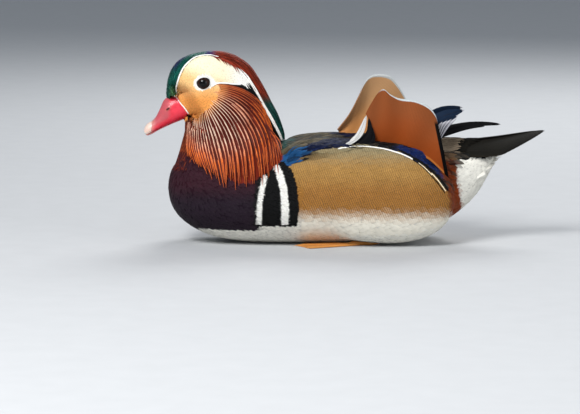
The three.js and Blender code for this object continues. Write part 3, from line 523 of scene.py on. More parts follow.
class Plumage:
    """Feathers of one piece: each is a slim closed vane along its stations."""

    def __init__(self, rings, width_shape, arch, across=3):
        self.rings = rings
        self.width_shape = width_shape
        self.arch = arch
        self.across = across
        self.stations = []
        self.ups = []
        self.widths = []
        self.tints = []
        self.gloss = []

    def add(self, stations, ups, width, tints, gloss=0.0):
        self.stations.append([tuple(p) for p in stations])
        self.ups.append([tuple(n) for n in ups])
        self.widths.append(width)
        self.tints.append(tints)
        self.gloss.append(gloss)

    def build(self, name, material, unwrap):
        count = len(self.stations)
        steps = self.rings
        p = np.array(self.stations, float)
        up = np.array(self.ups, float)
        width = np.array(self.widths, float)[:, None, None]
        along = np.gradient(p, axis=1)
        along /= np.linalg.norm(along, axis=2)[:, :, None] + 1e-9
        side = np.cross(along, up)
        side /= np.linalg.norm(side, axis=2)[:, :, None] + 1e-9
        up = np.cross(side, along)
        shape = np.array(self.width_shape)[None, :, None]
        m = self.across
        spread = np.linspace(-0.5, 0.5, m)
        top = []
        for k in range(m):
            rise = self.arch * (1 - (2 * spread[k]) ** 2)
            top.append(p[:, :-1] + side[:, :-1] * shape * width * spread[k] + up[:, :-1] * shape * width
                * rise)
        body = np.stack(top, axis=2)
        lower = 0
        if m > 3:
            sunk = body[:, :, 1:-1] - up[:, :-1, None] * (0.5 + 0 * shape[..., None])
            body = np.concatenate([body, sunk[:, :, ::-1]], axis=2)
            lower = m - 2
        ring = m + lower
        per = ring * (steps) + 1
        vertices = np.concatenate([body.reshape(count, -1, 3), p[:, -1:]], axis=1).reshape(-1, 3)
        faces = []
        starts = []
        for r in range(steps - 1):
            for k in range(ring):
                a = r * ring + k
                b = r * ring + (k + 1) % ring
                faces.append((a, b, b + ring, a + ring))
        tip = ring * steps
        last = ring * (steps - 1)
        for k in range(ring):
            faces.append((last + k, last + (k + 1) % ring, tip, -1))
        base = [tuple(range(ring))[::-1]]
        quads = np.array([f for f in faces if f[3] >= 0])
        tris = np.array([f[:3] for f in faces if f[3] < 0])
        offset = (np.arange(count) * per)[:, None, None]
        all_quads = (quads[None] + offset).reshape(-1, 4)
        all_tris = (tris[None] + offset).reshape(-1, 3)
        caps = (np.array(base)[None] + offset).reshape(-1, ring)
        loops = np.concatenate([all_quads.ravel(), all_tris.ravel(), caps.ravel()])
        sizes = np.concatenate([np.full(len(all_quads), 4), np.full(len(all_tris), 3), np.full(len(caps),
            ring)])
        starts = np.concatenate([[0], np.cumsum(sizes)[:-1]])
        mesh = bpy.data.meshes.new(name)
        mesh.vertices.add(len(vertices))
        mesh.vertices.foreach_set("co", (vertices * MM).ravel())
        mesh.loops.add(len(loops))
        mesh.loops.foreach_set("vertex_index", loops.astype(np.int32))
        mesh.polygons.add(len(sizes))
        mesh.polygons.foreach_set("loop_start", starts.astype(np.int32))
        mesh.update(calc_edges=True)
        mesh.polygons.foreach_set("use_smooth", np.ones(len(sizes), bool))
        self._attributes(mesh, count, per, ring, steps, m, lower, loops, p, unwrap)
        mesh.update()
        mesh.validate()
        obj = bpy.data.objects.new(name, mesh)
        bpy.context.scene.collection.objects.link(obj)
        obj.data.materials.append(material)
        return obj

    def _attributes(self, mesh, count, per, ring, steps, m, lower, loops, p, unwrap):
        t = np.linspace(0, 1, steps + 1)[:-1]
        spread = list(np.linspace(0, 1, m)) + list(np.linspace(0, 1, m)[1:-1][::-1])[:lower]
        one_u = np.concatenate([np.tile(spread, steps), [0.5]])
        one_v = np.concatenate([np.repeat(t, ring), [1.0]])
        u = np.tile(one_u, count)
        v = np.tile(one_v, count)
        vane = mesh.uv_layers.new(name="vane")
        vane.data.foreach_set("uv", np.stack([u[loops], v[loops]], axis=1).ravel())
        roots = unwrap(p[:, 0])
        bake_u = np.repeat(roots[:, 0], per) + (u - 0.5) * 0.003
        bake_v = np.repeat(roots[:, 1], per) + (v - 0.5) * 0.003
        bake = mesh.uv_layers.new(name="OFBake")
        bake.data.foreach_set("uv", np.stack([bake_u[loops], bake_v[loops]], axis=1).ravel())
        tints = np.array(self.tints, float)
        stations = tints.shape[1]
        where = np.clip(one_v, 0, 1) * (stations - 1)
        low = np.minimum(where.astype(int), stations - 2)
        share = (where - low)[None, :, None]
        colour = tints[:, low] * (1 - share) + tints[:, low + 1] * share
        rgba = np.ones((count * per, 4))
        rgba[:, :3] = colour.reshape(-1, 3)
        layer = mesh.color_attributes.new("tint", "FLOAT_COLOR", "POINT")
        layer.data.foreach_set("color", rgba.ravel())
        shine = mesh.attributes.new("gloss", "FLOAT", "POINT")
        shine.data.foreach_set("value", np.repeat(np.array(self.gloss, float), per))
        edges = np.empty(len(mesh.edges) * 2, int)
        mesh.edges.foreach_get("vertices", edges)
        edges = edges.reshape(-1, 2) % per
        body = per - 1
        column = np.where(edges < body, edges % ring, -1)
        rim = ((column == 0) | (column == m - 1)) | (edges == body)
        same = (column[:, 0] == column[:, 1]) | (edges[:, 0] == body) | (edges[:, 1] == body)
        sharp = rim.all(axis=1) & same
        layer = mesh.attributes.new("sharp_edge", "BOOLEAN", "EDGE")
        layer.data.foreach_set("value", sharp)


def trunk_unwrap(points):
    """A place on an unwrap of the trunk's own surface, round its long axis."""
    turn = np.arctan2(points[:, 1], points[:, 2] - 45) / (2 * math.pi) + 0.5
    return np.stack([0.02 + 0.96 * turn, 0.02 + 0.96 * (points[:, 0] + 160) / 340], axis=1)


def head_unwrap(points):
    """A place on an unwrap of the head's own surface, round its upright axis."""
    turn = np.arctan2(points[:, 1], points[:, 0] + 103) / (2 * math.pi) + 0.5
    return np.stack([0.02 + 0.96 * turn, 0.02 + 0.96 * np.clip(points[:, 2], 0, 170) / 170], axis=1)


# Materials
class Value:
    """A socket that Python expressions can work with."""

    def __init__(self, recipe, socket):
        self.recipe = recipe
        self.socket = socket

    def math(self, operation, first, second):
        return self.recipe.node("ShaderNodeMath", {"operation": operation}, {0: first, 1: second})

    def __add__(self, other):
        return self.math("ADD", self, other)

    def __radd__(self, other):
        return self.math("ADD", other, self)

    def __sub__(self, other):
        return self.math("SUBTRACT", self, other)

    def __rsub__(self, other):
        return self.math("SUBTRACT", other, self)

    def __mul__(self, other):
        return self.math("MULTIPLY", self, other)

    def __rmul__(self, other):
        return self.math("MULTIPLY", other, self)

    def __truediv__(self, other):
        return self.math("DIVIDE", self, other)

    def __abs__(self):
        return self.math("ABSOLUTE", self, 0)

    def __gt__(self, other):
        return self.math("GREATER_THAN", self, other)

    def __lt__(self, other):
        return self.math("LESS_THAN", self, other)


class Recipe:
    """The nodes of one material."""

    def __init__(self, name):
        self.material = bpy.data.materials.new(name)
        self.material.use_nodes = True
        self.tree = self.material.node_tree
        self.tree.nodes.clear()

    def node(self, kind, settings=None, inputs=None, output=0):
        made = self.tree.nodes.new(kind)
        for key, value in (settings or {}).items():
            if key == "stops":
                ramp_of = made.color_ramp
                while len(ramp_of.elements) < len(value):
                    ramp_of.elements.new(0.5)
                for element, (place, colour) in zip(ramp_of.elements, value):
                    element.position = place
                    element.color = (*colour, 1)
            else:
                setattr(made, key, value)
        for key, value in (inputs or {}).items():
            self.feed(made.inputs[key], value)
        return Value(self, made.outputs[output])

    def feed(self, socket, value):
        if isinstance(value, Value):
            self.tree.links.new(value.socket, socket)
        elif isinstance(value, (tuple, list)) and len(value) == 3 and socket.type == "RGBA":
            socket.default_value = (*value, 1)
        else:
            socket.default_value = value

    def mix(self, share, first, second):
        return self.node(
            "ShaderNodeMix", {"data_type": "RGBA", "clamp_factor": True}, {0: share, 6: first, 7: second}, 2
        )

    def tinted(self, first, second, share=1.0):
        settings = {"data_type": "RGBA", "blend_type": "MULTIPLY", "clamp_factor": True}
        return self.node("ShaderNodeMix", settings, {0: share, 6: first, 7: second}, 2)

    def smooth(self, value, low, high):
        settings = {"interpolation_type": "SMOOTHSTEP", "clamp": True}
        return self.node("ShaderNodeMapRange", settings, {0: value, 1: low, 2: high, 3: 0.0, 4: 1.0})

    def sine(self, value):
        return self.node("ShaderNodeMath", {"operation": "SINE"}, {0: value})

    def place(self):
        return self.node("ShaderNodeTexCoord", output="Object")

    def split(self, vector):
        parts = self.node("ShaderNodeSeparateXYZ", inputs={0: vector})
        made = parts.socket.node
        return [Value(self, made.outputs[i]) for i in range(3)]

    def vane(self):
        """Across the feather from 0 to 1, and along it from root to tip."""
        across, along, _ = self.split(self.node("ShaderNodeUVMap", {"uv_map": "vane"}))
        return across, along

    def noise(self, scale, detail=2.0, vector=None):
        inputs = {"Vector": vector or self.place(), "Scale": scale, "Detail": detail}
        return self.node("ShaderNodeTexNoise", None, inputs)

    def attribute(self, name, output="Color"):
        return self.node("ShaderNodeAttribute", {"attribute_name": name}, None, output)

    def finish(self, colour, roughness=0.5, bump=None, depth=0.0002, **sockets):
        shader = self.tree.nodes.new("ShaderNodeBsdfPrincipled")
        self.feed(shader.inputs["Base Color"], colour)
        self.feed(shader.inputs["Roughness"], roughness)
        for name, value in sockets.items():
            self.feed(shader.inputs[name.replace("_", " ")], value)
        if bump is not None:
            raised = self.node("ShaderNodeBump", None, {"Height": bump, "Distance": depth, "Strength": 1.0})
            self.tree.links.new(raised.socket, shader.inputs["Normal"])
        out = self.tree.nodes.new("ShaderNodeOutputMaterial")
        self.tree.links.new(shader.outputs[0], out.inputs[0])
        return self.material


def plumage_material(name, barbs=18.0, shaft=0.12, fringe=0.18, rough=0.62, shine=0.45, mottle=1.0):
    """Vanes with fine barbs, a shaft and a worn fringe over the marking's colour."""
    recipe = Recipe(name)
    across, along = recipe.vane()
    from_shaft = abs(across - 0.5) * 2
    comb = recipe.sine((along * 2.2 + from_shaft * -0.8) * barbs * 3.1) * 0.5 + 0.5
    cloud = recipe.noise(140.0, 3.0)
    fine = recipe.noise(900.0, 2.0)
    shade = comb * (0.14 * mottle) + cloud * (0.36 * mottle) + fine * (0.2 * mottle) + (1.03 - 0.35 * mottle)
    colour = recipe.attribute("tint")
    grey = recipe.node("ShaderNodeCombineColor", None, {0: shade, 1: shade, 2: shade})
    colour = recipe.tinted(colour, grey)
    middle = recipe.smooth(from_shaft, 0.16, 0.02)
    colour = recipe.mix(middle * shaft, colour, (0.02, 0.018, 0.015))
    rim = recipe.smooth(along + from_shaft * 0.12, 0.82, 1.05)
    colour = recipe.mix(rim * fringe, colour, (0.8, 0.76, 0.7))
    gloss = recipe.attribute("gloss", "Fac")
    roughness = rough - gloss * 0.26 + comb * 0.05
    height = comb * 0.5 + middle * 0.8 + fine * 0.3
    return recipe.finish(
        colour, roughness, height, 0.00012 * mottle + 0.00003, Metallic=gloss * shine,
            Specular_IOR_Level=0.15
    )


def skin_material():
    recipe = Recipe("down and skin")
    fine = recipe.noise(1400.0, 4.0)
    colour = recipe.tinted(
        recipe.attribute("tint"), recipe.mix(fine, (0.8, 0.8, 0.8), (1.0, 1.0, 1.0))
    )
    return recipe.finish(colour, 0.8, fine, 0.0002, Specular_IOR_Level=0.1)


# Pieces
def lie_of_body(point, normal):
    """Which way the trunk's feathers lie: back along the bird, and down its front."""
    front = max(0.0, -normal[0])
    under = ramp(-normal[2], 0.1, 0.9)
    return Vector((1.0 - 0.6 * front, 0.0, -0.22 * (1 - under) - 1.3 * front * (1 - under) + 0.12 * under))


def lie_of_head(point, normal):
    """Feathers of the head lie away from the bill, and turn down on the nape."""
    away = Vector((point[0] + 152, point[1] * 0.8, point[2] - 112))
    away.normalize()
    behind = ramp(point[0], -100, -78)
    return away * (1 - behind) + Vector((0.5, 0, -1)) * behind


def lie_of_neck(point, normal):
    return Vector((0.18, 0.0, -1.0))


def lie_of_shoulder(point, normal):
    """The shoulder's long feathers rise a little before they turn back along the wing."""
    return Vector((1.0, 0.0, 0.42 - 0.4 * ramp(point[0], -52, 4)))


def lie_of_tail_end(point, normal):
    """Under the tail the feathers point to its tip."""
    front = max(0.0, -normal[0])
    rise = ramp(point[0], 92, 112)
    under = ramp(-normal[2], 0.1, 0.9)
    return Vector((1.0 - 0.6 * front, 0.0, -0.2 * (1 - under) * (1 - rise) + 0.75 * rise - 1.2 * front))


def lay(plumage, skin, roots, normals, lie, length, width, lift, seed, sunk=0.35, vary=0.12, turn=0.12):
    """Feathers that follow the skin from their roots and rise a little to their tips."""
    rng = np.random.default_rng(seed)
    steps = plumage.rings
    rises = [-sunk + (lift + sunk) * (k / steps) ** 0.8 for k in range(steps + 1)]
    for root, normal in zip(roots, normals):
        size = 1 + vary * rng.standard_normal()
        swing = turn * rng.standard_normal()
        tilt = 1 + 0.35 * rng.random()
        reach = length(root) * size / steps
        place, up = Vector(root), Vector(normal)
        way = lie(root, normal)
        way = way - up * way.dot(up)
        if way.length < 1e-3:
            continue
        way.normalize()
        way = (way + up.cross(way) * swing).normalized()
        stations, ups = [place + up * rises[0]], [up]
        spots = [place]
        for k in range(steps):
            ahead = place + way * reach
            place, up = skin.near(ahead)
            way = way - up * way.dot(up)
            way.normalize()
            spots.append(place)
            stations.append(place + up * rises[k + 1] * tilt)
            ups.append(up)
        plumage.spots.append([tuple(spot) for spot in spots])
        plumage.add(stations, ups, width(root) * size, None)


def colour_all(plumage, rng, spread, own, tones=(), deep=0.86):
    """Gives each feather the marking's colours under it, varied a little, darker at its root."""
    spots = np.array(plumage.spots)
    count, stations, _ = spots.shape
    colour, gloss = markings(spots.reshape(-1, 3))
    colour = colour.reshape(count, stations, 3)
    root = colour[:, 1][:, None]
    tone = (1 - own) * colour + own * root
    if len(tones):
        pick = rng.integers(0, len(tones), count)
        share = rng.random((count, 1, 1)) ** 2
        share = share * (gloss.reshape(count, stations)[:, 1] < 0.45)[:, None, None]
        tone = tone + (np.array([PAINT[name] for name in tones])[pick][:, None] - tone) * share
    vary = 1 + spread * rng.standard_normal((count, 1, 1))
    shade = np.linspace(deep, 1.04, stations)[None, :, None]
    plumage.tints = np.clip(tone * vary * shade, 0.001, 0.97)
    plumage.gloss = gloss.reshape(count, stations)[:, 1]


def coat(skin, name, wanted, lay_plan, look, unwrap, seed):
    """One piece of the plumage, from its area of the skin."""
    spacing, lie, length, width, lift, arch, spread, own, tones = lay_plan
    roots, normals = skin.scatter(wanted, spacing, seed)
    plumage = Plumage(4, (0.42, 0.92, 1.0, 0.74), arch)
    plumage.spots = []
    lay(plumage, skin, roots, normals, lie, steady(length), steady(width), lift, seed + 1)
    colour_all(plumage, np.random.default_rng(seed + 2), spread, own, tones)
    return plumage.build(name, look, unwrap)


def steady(value):
    return lambda root: value


def build_skin():
    """The bare bird: trunk, neck, head and swellings fused into one surface."""
    bm = bmesh.new()
    add_loft(bm, 72, 60, torso_point)
    add_loft(bm, 64, 72, neck_point)
    for _, side in SIDES:
        for pad in (FLANK, WING, SHOULDER):
            add_pad(bm, pad, side)
    obj = finish_mesh(bm, "skin")
    remesh = obj.modifiers.new("fuse", "REMESH")
    remesh.mode = "VOXEL"
    remesh.voxel_size = 1.9 * MM
    ease = obj.modifiers.new("ease", "SMOOTH")
    ease.factor = 0.5
    ease.iterations = 14
    apply_modifiers(obj)
    sculpt_head(obj.data)
    obj.data.shade_smooth()
    return obj


def eye_centre(side):
    """Centre of the eyeball, sunk in the head's surface."""
    x, z = EYE["x"], EYE["z"]
    low, high = 0.0, 1.0
    for _ in range(24):
        middle = (low + high) / 2
        if read_rows(NECK_ROWS, middle)[0] < z:
            low = middle
        else:
            high = middle
    _, front, back, half = read_rows(NECK_ROWS, low)
    widest = front + NECK_WIDEST * (back - front)
    reach, bend = (widest - front, NECK_FRONT_POWER) if x < widest else (back - widest, NECK_BACK_POWER)
    part = min(abs(x - widest) / reach, 1)
    y = half * (1 - part**bend) ** (1 / bend)
    return Vector((x, side * (y - SIZE["eye_sink"]), z))


def behind_bill(x, z):
    """How far a point of the side view lies behind the line where the bill's side ends."""
    return BILL_EDGE["nx"] * (x - BILL_EDGE["x"]) + BILL_EDGE["nz"] * (z - BILL_EDGE["z"])


def bill_tree():
    """The bill's surface, for measuring its width."""
    bm = bmesh.new()
    add_loft(bm, 40, 60, bill_point)
    tree = BVHTree.FromBMesh(bm)
    bm.free()
    return tree


def bill_half(tree, x, z):
    hit, _, _, _ = tree.ray_cast(Vector((x, 60, z)), Vector((0, -1, 0)))
    return None if hit is None else hit.y


def fit_face(points):
    """Draws the cheeks in to the bill's edge, and sinks what lies inside the bill."""
    tree = bill_tree()
    behind = behind_bill(points[:, 0], points[:, 2])
    near = (behind < BILL_EDGE["reach"]) & (points[:, 0] < -112) & (points[:, 2] > 97) & (points[:, 2] < 142)
    for i in np.nonzero(near)[0]:
        x, y, z = points[i]
        past = max(behind[i], 0)
        half = bill_half(tree, x - past * BILL_EDGE["nx"], z - past * BILL_EDGE["nz"])
        if half is None:
            if behind[i] < 0:
                continue
            half = 5.0
        if behind[i] < 0:
            target = half - 1.0
        else:
            free = ramp(past, 0, BILL_EDGE["reach"])
            target = half + 0.1 + (abs(y) - half - 0.1) * free
        weight = ramp(z, 97, 105) * (1 - ramp(z, 127, 142)) if behind[i] > 0 else 1.0
        out = abs(y) + (min(abs(y), target) - abs(y)) * weight
        points[i, 1] = math.copysign(out, y)


def sculpt_head(mesh):
    """Lowers the skin under the coat and raises a soft rim round each eye."""
    count = len(mesh.vertices)
    points = np.empty(count * 3)
    normals = np.empty(count * 3)
    mesh.vertices.foreach_get("co", points)
    mesh.vertices.foreach_get("normal", normals)
    points = points.reshape(-1, 3) / MM
    normals = normals.reshape(-1, 3)
    near_bill = np.exp(-(((points[:, 0] + 141) / 9) ** 2 + ((points[:, 2] - 116) / 12) ** 2))
    moved = points - normals * (SIZE["coat_depth"] + 0.3 * near_bill)[:, None]
    fit_face(moved)
    for _, side in SIDES:
        away = points - np.array(eye_centre(side))
        gap = np.linalg.norm(away, axis=1)
        rim = 0.45 * np.exp(-(((gap - 8.4) / 2.2) ** 2)) * (gap < 12)
        moved += away / gap[:, None] * rim[:, None]
    moved[:, 2] = np.maximum(moved[:, 2], 0.6)
    mesh.vertices.foreach_set("co", (moved * MM).ravel())
    mesh.update()


def add_tint(obj):
    """Gives a mesh's vertices the marking's colours."""
    mesh = obj.data
    points = np.empty(len(mesh.vertices) * 3)
    mesh.vertices.foreach_get("co", points)
    colour, gloss = markings(points.reshape(-1, 3) / MM)
    rgba = np.ones((len(colour), 4))
    rgba[:, :3] = colour * 0.9
    layer = mesh.color_attributes.new("tint", "FLOAT_COLOR", "POINT")
    layer.data.foreach_set("color", rgba.ravel())


def plane_cut(bm, point, normal, keep_below=True):
    geometry = bm.verts[:] + bm.edges[:] + bm.faces[:]
    cut = bmesh.ops.bisect_plane(
        bm, geom=geometry, plane_co=point, plane_no=normal, clear_outer=keep_below,
            clear_inner=not keep_below
    )
    edges = [e for e in cut["geom_cut"] if isinstance(e, bmesh.types.BMEdge)]
    bmesh.ops.holes_fill(bm, edges=edges, sides=0)


def gape_plane(gap):
    (x1, z1), (x2, z2) = GAPE
    along = Vector((x2 - x1, 0, z2 - z1)).normalized()
    normal = Vector((along.z, 0, -along.x))
    if normal.z < 0:
        normal.negate()
    return Vector((x1, 0, z1)) + normal * gap, normal


def nail_plane(gap):
    (x1, z1), (x2, z2) = NAIL_CUT
    along = Vector((x2 - x1, 0, z2 - z1)).normalized()
    normal = Vector((-along.z, 0, along.x))
    if normal.x > 0:
        normal.negate()
    return Vector((x1, 0, z1)) + normal * gap, normal


def oval_share(recipe, x, z, at_x, at_z, tilt, long, high):
    """How far out a point of the side view lies in a tilted oval, 1 on the oval's edge."""
    dx, dz = x - at_x * MM, z - at_z * MM
    along = (dx * math.cos(tilt) + dz * math.sin(tilt)) / (long * MM)
    up = (dz * math.cos(tilt) - dx * math.sin(tilt)) / (high * MM)
    return recipe.node("ShaderNodeMath", {"operation": "SQRT"}, {0: along * along + up * up})


def bill_material(name, tip=False):
    """Pink-red horn with a painted grey-brown sheen on its saddle, paling to the nail."""
    recipe = Recipe(name)
    x, y, z = recipe.split(recipe.place())
    cloud = recipe.noise(180.0, 4.0)
    fine = recipe.noise(1100.0, 3.0)
    if tip:
        colour = recipe.mix(recipe.smooth(x + cloud * 0.002, -0.1655, -0.1635), (0.75, 0.54, 0.45), (0.63,
            0.24, 0.22))
        colour = recipe.mix(recipe.smooth(cloud, 0.35, 0.75), colour, (0.84, 0.68, 0.58))
    else:
        colour = recipe.mix(recipe.smooth(cloud, 0.3, 0.7), (0.69, 0.014, 0.038), (0.82, 0.036, 0.07))
        # Painted sheen: grey-brown mixed into the red over the upper middle of the bill
        height = z + (x + 0.155) * -0.62
        saddle = recipe.smooth(height, 0.1015, 0.1065) * recipe.smooth(x, -0.1475, -0.1525)
        colour = recipe.mix(saddle * 0.62, colour, (0.36, 0.11, 0.12))
        # The nostril: a darker red ring round it, and painted shade, near black, in its hole
        spot = oval_share(recipe, x, z, NOSTRIL["x"], NOSTRIL["z"], NOSTRIL["tilt"], NOSTRIL["long"],
            NOSTRIL["high"])
        colour = recipe.mix(recipe.smooth(spot, 1.7, 1.1) * 0.5, colour, (0.55, 0.12, 0.1))
        colour = recipe.mix(recipe.smooth(spot, 0.85, 0.55), colour, (0.05, 0.006, 0.006))
        pale = recipe.smooth(x + cloud * 0.003, -0.159, -0.1655)
        colour = recipe.mix(pale * 0.7, colour, (0.74, 0.36, 0.3))
    height = cloud * 0.6 + fine * 0.4
    return recipe.finish(
        colour, 0.36 + fine * 0.14, height, 0.00022, Subsurface_Weight=0.1, Subsurface_Scale=0.002,
            Coat_Weight=0.2
    )


def build_bill():
    material = bill_material("bill horn")
    nail_look = bill_material("nail horn", True)
    for name, node, upper, nail in (
        ("bill_top", "bill_upper", True, False),
        ("bill_under", "bill_lower", False, False),
        ("bill_tip", "bill_nail", True, True),
    ):
        bm = bmesh.new()
        add_loft(bm, 72, 72, bill_point)
        shape_bill(bm, upper)
        point, normal = gape_plane(0.16 if upper else -0.16)
        plane_cut(bm, point, normal, not upper)
        if upper:
            point, normal = nail_plane(0.06 if nail else -0.06)
            plane_cut(bm, point, normal, not nail)
        obj = finish_mesh(bm, name)
        bevel = obj.modifiers.new("edge", "BEVEL")
        bevel.width = 0.25 * MM
        bevel.segments = 2
        bevel.limit_method = "ANGLE"
        bevel.angle_limit = math.radians(50)
        obj.data.materials.append(nail_look if nail else material)
        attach(obj, "root")
        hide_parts(node)


def shape_bill(bm, upper):
    """The nostril with its rim, and the lower edge drawn in."""
    turn = NOSTRIL["tilt"]
    for v in bm.verts:
        dx, dz = v.co.x - NOSTRIL["x"], v.co.z - NOSTRIL["z"]
        along = (dx * math.cos(turn) + dz * math.sin(turn)) / NOSTRIL["long"]
        high = (dz * math.cos(turn) - dx * math.sin(turn)) / NOSTRIL["high"]
        ring = math.hypot(along, high)
        if ring < 3 and abs(v.co.y) > 3:
            sunk = -NOSTRIL["deep"] * math.exp(-((ring / 0.8) ** 4))
            rim = 0.28 * math.exp(-(((ring - 1.5) / 0.5) ** 2))
            v.co.y += math.copysign(sunk + rim, v.co.y)
        if not upper:
            v.co.y *= 0.93


def eye_material():
    recipe = Recipe("eye")
    x, y, z = recipe.split(recipe.place())
    share = oval_share(recipe, x, z, EYE["x"], EYE["z"], 0.0, 1.0, 1.0)
    streaks = recipe.noise(700.0, 3.0)
    iris = recipe.mix(streaks, (0.01, 0.005, 0.003), (0.035, 0.014, 0.008))
    colour = recipe.mix(recipe.smooth(share, 3.1, 3.5), (0.001, 0.001, 0.001), iris)
    colour = recipe.mix(recipe.smooth(share, 4.8, 5.6), colour, (0.003, 0.002, 0.002))
    return recipe.finish(
        colour, 0.1, None, 0.0001, Coat_Weight=0.2, Coat_Roughness=0.03, Specular_IOR_Level=0.15
    )


def lid_material():
    """A dark rim round the eye that turns into white down."""
    recipe = Recipe("eyelid")
    x, y, z = recipe.split(recipe.place())
    fine = recipe.noise(1500.0, 4.0)
    share = oval_share(recipe, x, z, EYE["x"], EYE["z"], EYE["tilt"], SIZE["eye_long"], SIZE["eye_high"])
    rim = recipe.mix(fine, (0.012, 0.01, 0.009), (0.05, 0.042, 0.038))
    colour = recipe.mix(recipe.smooth(share + fine * 0.03, 1.09, 1.13), rim, (0.8, 0.79, 0.75))
    return recipe.finish(colour, 0.55 + fine * 0.2, fine, 0.0002, Specular_IOR_Level=0.3)


def build_eyes():
    """Glossy dark eyeballs in wrinkled lids."""
    look, lid_look = eye_material(), lid_material()
    for name, side in SIDES:
        centre = eye_centre(side)
        bm = bmesh.new()
        ball = bmesh.ops.create_uvsphere(bm, u_segments=48, v_segments=32, radius=SIZE["eye_radius"])
        bmesh.ops.translate(bm, vec=centre, verts=ball["verts"])
        for v in bm.verts:
            out = v.co - centre
            dome = math.exp(-(((out.x**2 + out.z**2) ** 0.5 / 3.6) ** 4))
            v.co = centre + out * (1 + 0.035 * dome)
        obj = finish_mesh(bm, f"eyeball {name}".replace(" ", "_"))
        obj.data.materials.append(look)
        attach(obj, "root")
        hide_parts(f"eye_{name}")
        build_lid(name, side, centre, lid_look)


def build_lid(name, side, centre, material):
    """A band of skin that hugs the eyeball round its opening."""
    bm = bmesh.new()
    tube = bmesh.ops.create_grid(bm, x_segments=80, y_segments=14, size=1)
    ball = SIZE["eye_radius"]
    for v in tube["verts"]:
        turn = (v.co.x + 1) * math.pi
        around = (v.co.y + 1) * math.pi
        corner = 0.35 * abs(math.cos(turn)) ** 6
        opening = math.hypot((SIZE["eye_long"] + corner) * math.cos(turn), SIZE["eye_high"] * math.sin(turn))
        inner = math.asin(min(opening / ball, 0.98))
        down = inner + 0.42 * (0.5 + 0.5 * math.cos(around))
        radius = ball + 0.1 + 0.62 * (0.5 + 0.5 * math.sin(around)) * (1 + 0.08 * math.sin(turn * 23))
        v.co = centre + radius * Vector(
            (
                math.sin(down) * math.cos(turn + EYE["tilt"]),
                side * math.cos(down),
                math.sin(down) * math.sin(turn + EYE["tilt"]),
            )
        )
    bmesh.ops.remove_doubles(bm, verts=bm.verts, dist=1e-3)
    obj = finish_mesh(bm, f"eyelid_{name}")
    obj.data.materials.append(material)
    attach(obj, "root")


# One hackle's path in the side drawing: root, middle and tip, from the throat to the nape
HACKLE_PATHS = [
    (191, 119, 188.5, 138, 191, 158), (195, 121, 194, 143, 200, 166), (200, 120.5, 203, 147, 210, 174),
    (206, 115.5, 214, 147, 222, 182), (211, 110, 228, 142.5, 235, 187),
    (216, 103.5, 240.5, 134.5, 251, 186.5), (219.5, 97, 251, 124, 266, 180),
    (221, 91, 259, 112.5, 277, 167), (220, 86, 259.5, 102, 283, 150),
]
HACKLE_LINES = 32
HACKLE_TIERS = [(0.0, 0.5), (0.05, 0.58), (0.12, 0.67), (0.2, 0.75), (0.29, 0.83), (0.39, 0.9), (0.5,
    0.96), (0.58, 1.02)]


def seen(skin, across, down, side):
    """The skin at a point of the side drawing."""
    x = model_x(across)
    y = 24.0
    for _ in range(3):
        hit, normal = skin.from_side(x, model_z(down, y), side)
        y = abs(hit.y)
    return hit, normal


def hackle_at(s, share):
    rx, ry, mx, my, tx, ty = read_rows(HACKLE_PATHS, s)
    a, b, c = (1 - share) * (1 - 2 * share), 4 * share * (1 - share), share * (2 * share - 1)
    return a * rx + b * mx + c * tx, a * ry + b * my + c * ty


def build_mane(skin, side, name, material):
    """Long pointed hackles that fan from the cheek over the neck and breast, in lines that run on."""
    rng = np.random.default_rng(41 + side)
    steps = 9
    shape = (0.45, 0.8, 0.97, 1.0, 0.92, 0.8, 0.64, 0.46, 0.24)
    plumage = Plumage(steps, shape, 0.34)
    for tier, (start, end) in enumerate(HACKLE_TIERS):
        outer = ramp(end, 0.8, 1.0)
        for i in range(HACKLE_LINES):
            line = (i + 0.5 + 0.07 * rng.standard_normal()) / HACKLE_LINES
            first = start - 0.035 + 0.018 * rng.standard_normal()
            last = end + (0.012 + 0.02 * outer) * rng.standard_normal()
            drift = 0.004 * rng.standard_normal() * (1 + 1.6 * outer**2)
            loose = 1 + 0.3 * rng.random()
            tone = 1 + 0.1 * rng.standard_normal()
            places, ups = [], []
            for k in range(steps + 1):
                t = k / steps
                across, down = hackle_at(min(max(line + drift * t * t, 0), 1), first + (last - first) * t)
                place, up = seen(skin, across, down, side)
                places.append(place)
                ups.append(up)
            for _ in range(3):
                places[1:-1] = [(a + 2 * b + c) / 4 for a, b, c in zip(places, places[1:], places[2:])]
                ups[1:-1] = [(a + b + c).normalized() for a, b, c in zip(ups, ups[1:], ups[2:])]
            stations, tints = [], []
            for k in range(steps + 1):
                t = k / steps
                share = first + (last - first) * t
                lift = -0.2 + (1.8 + 1.3 * outer * t) * t**0.8 * loose
                stations.append(places[k] + ups[k] * lift)
                deep = PAINT["ochre"] + (PAINT["maroon"] - PAINT["ochre"]) * ramp(share, -0.04, 0.12)
                deep = deep + (PAINT["rust"] - deep) * 0.22 * ramp(share, 0.5, 1.0)
                tints.append(deep * tone)
            width = (SIZE["hackle_width"] * (0.62 + 0.5 * ramp(start, 0.0, 0.5))) * (1 + 0.08
                * rng.standard_normal())
            plumage.add(stations, ups, width, tints, 0.25)
    return plumage.build(name, material, head_unwrap)


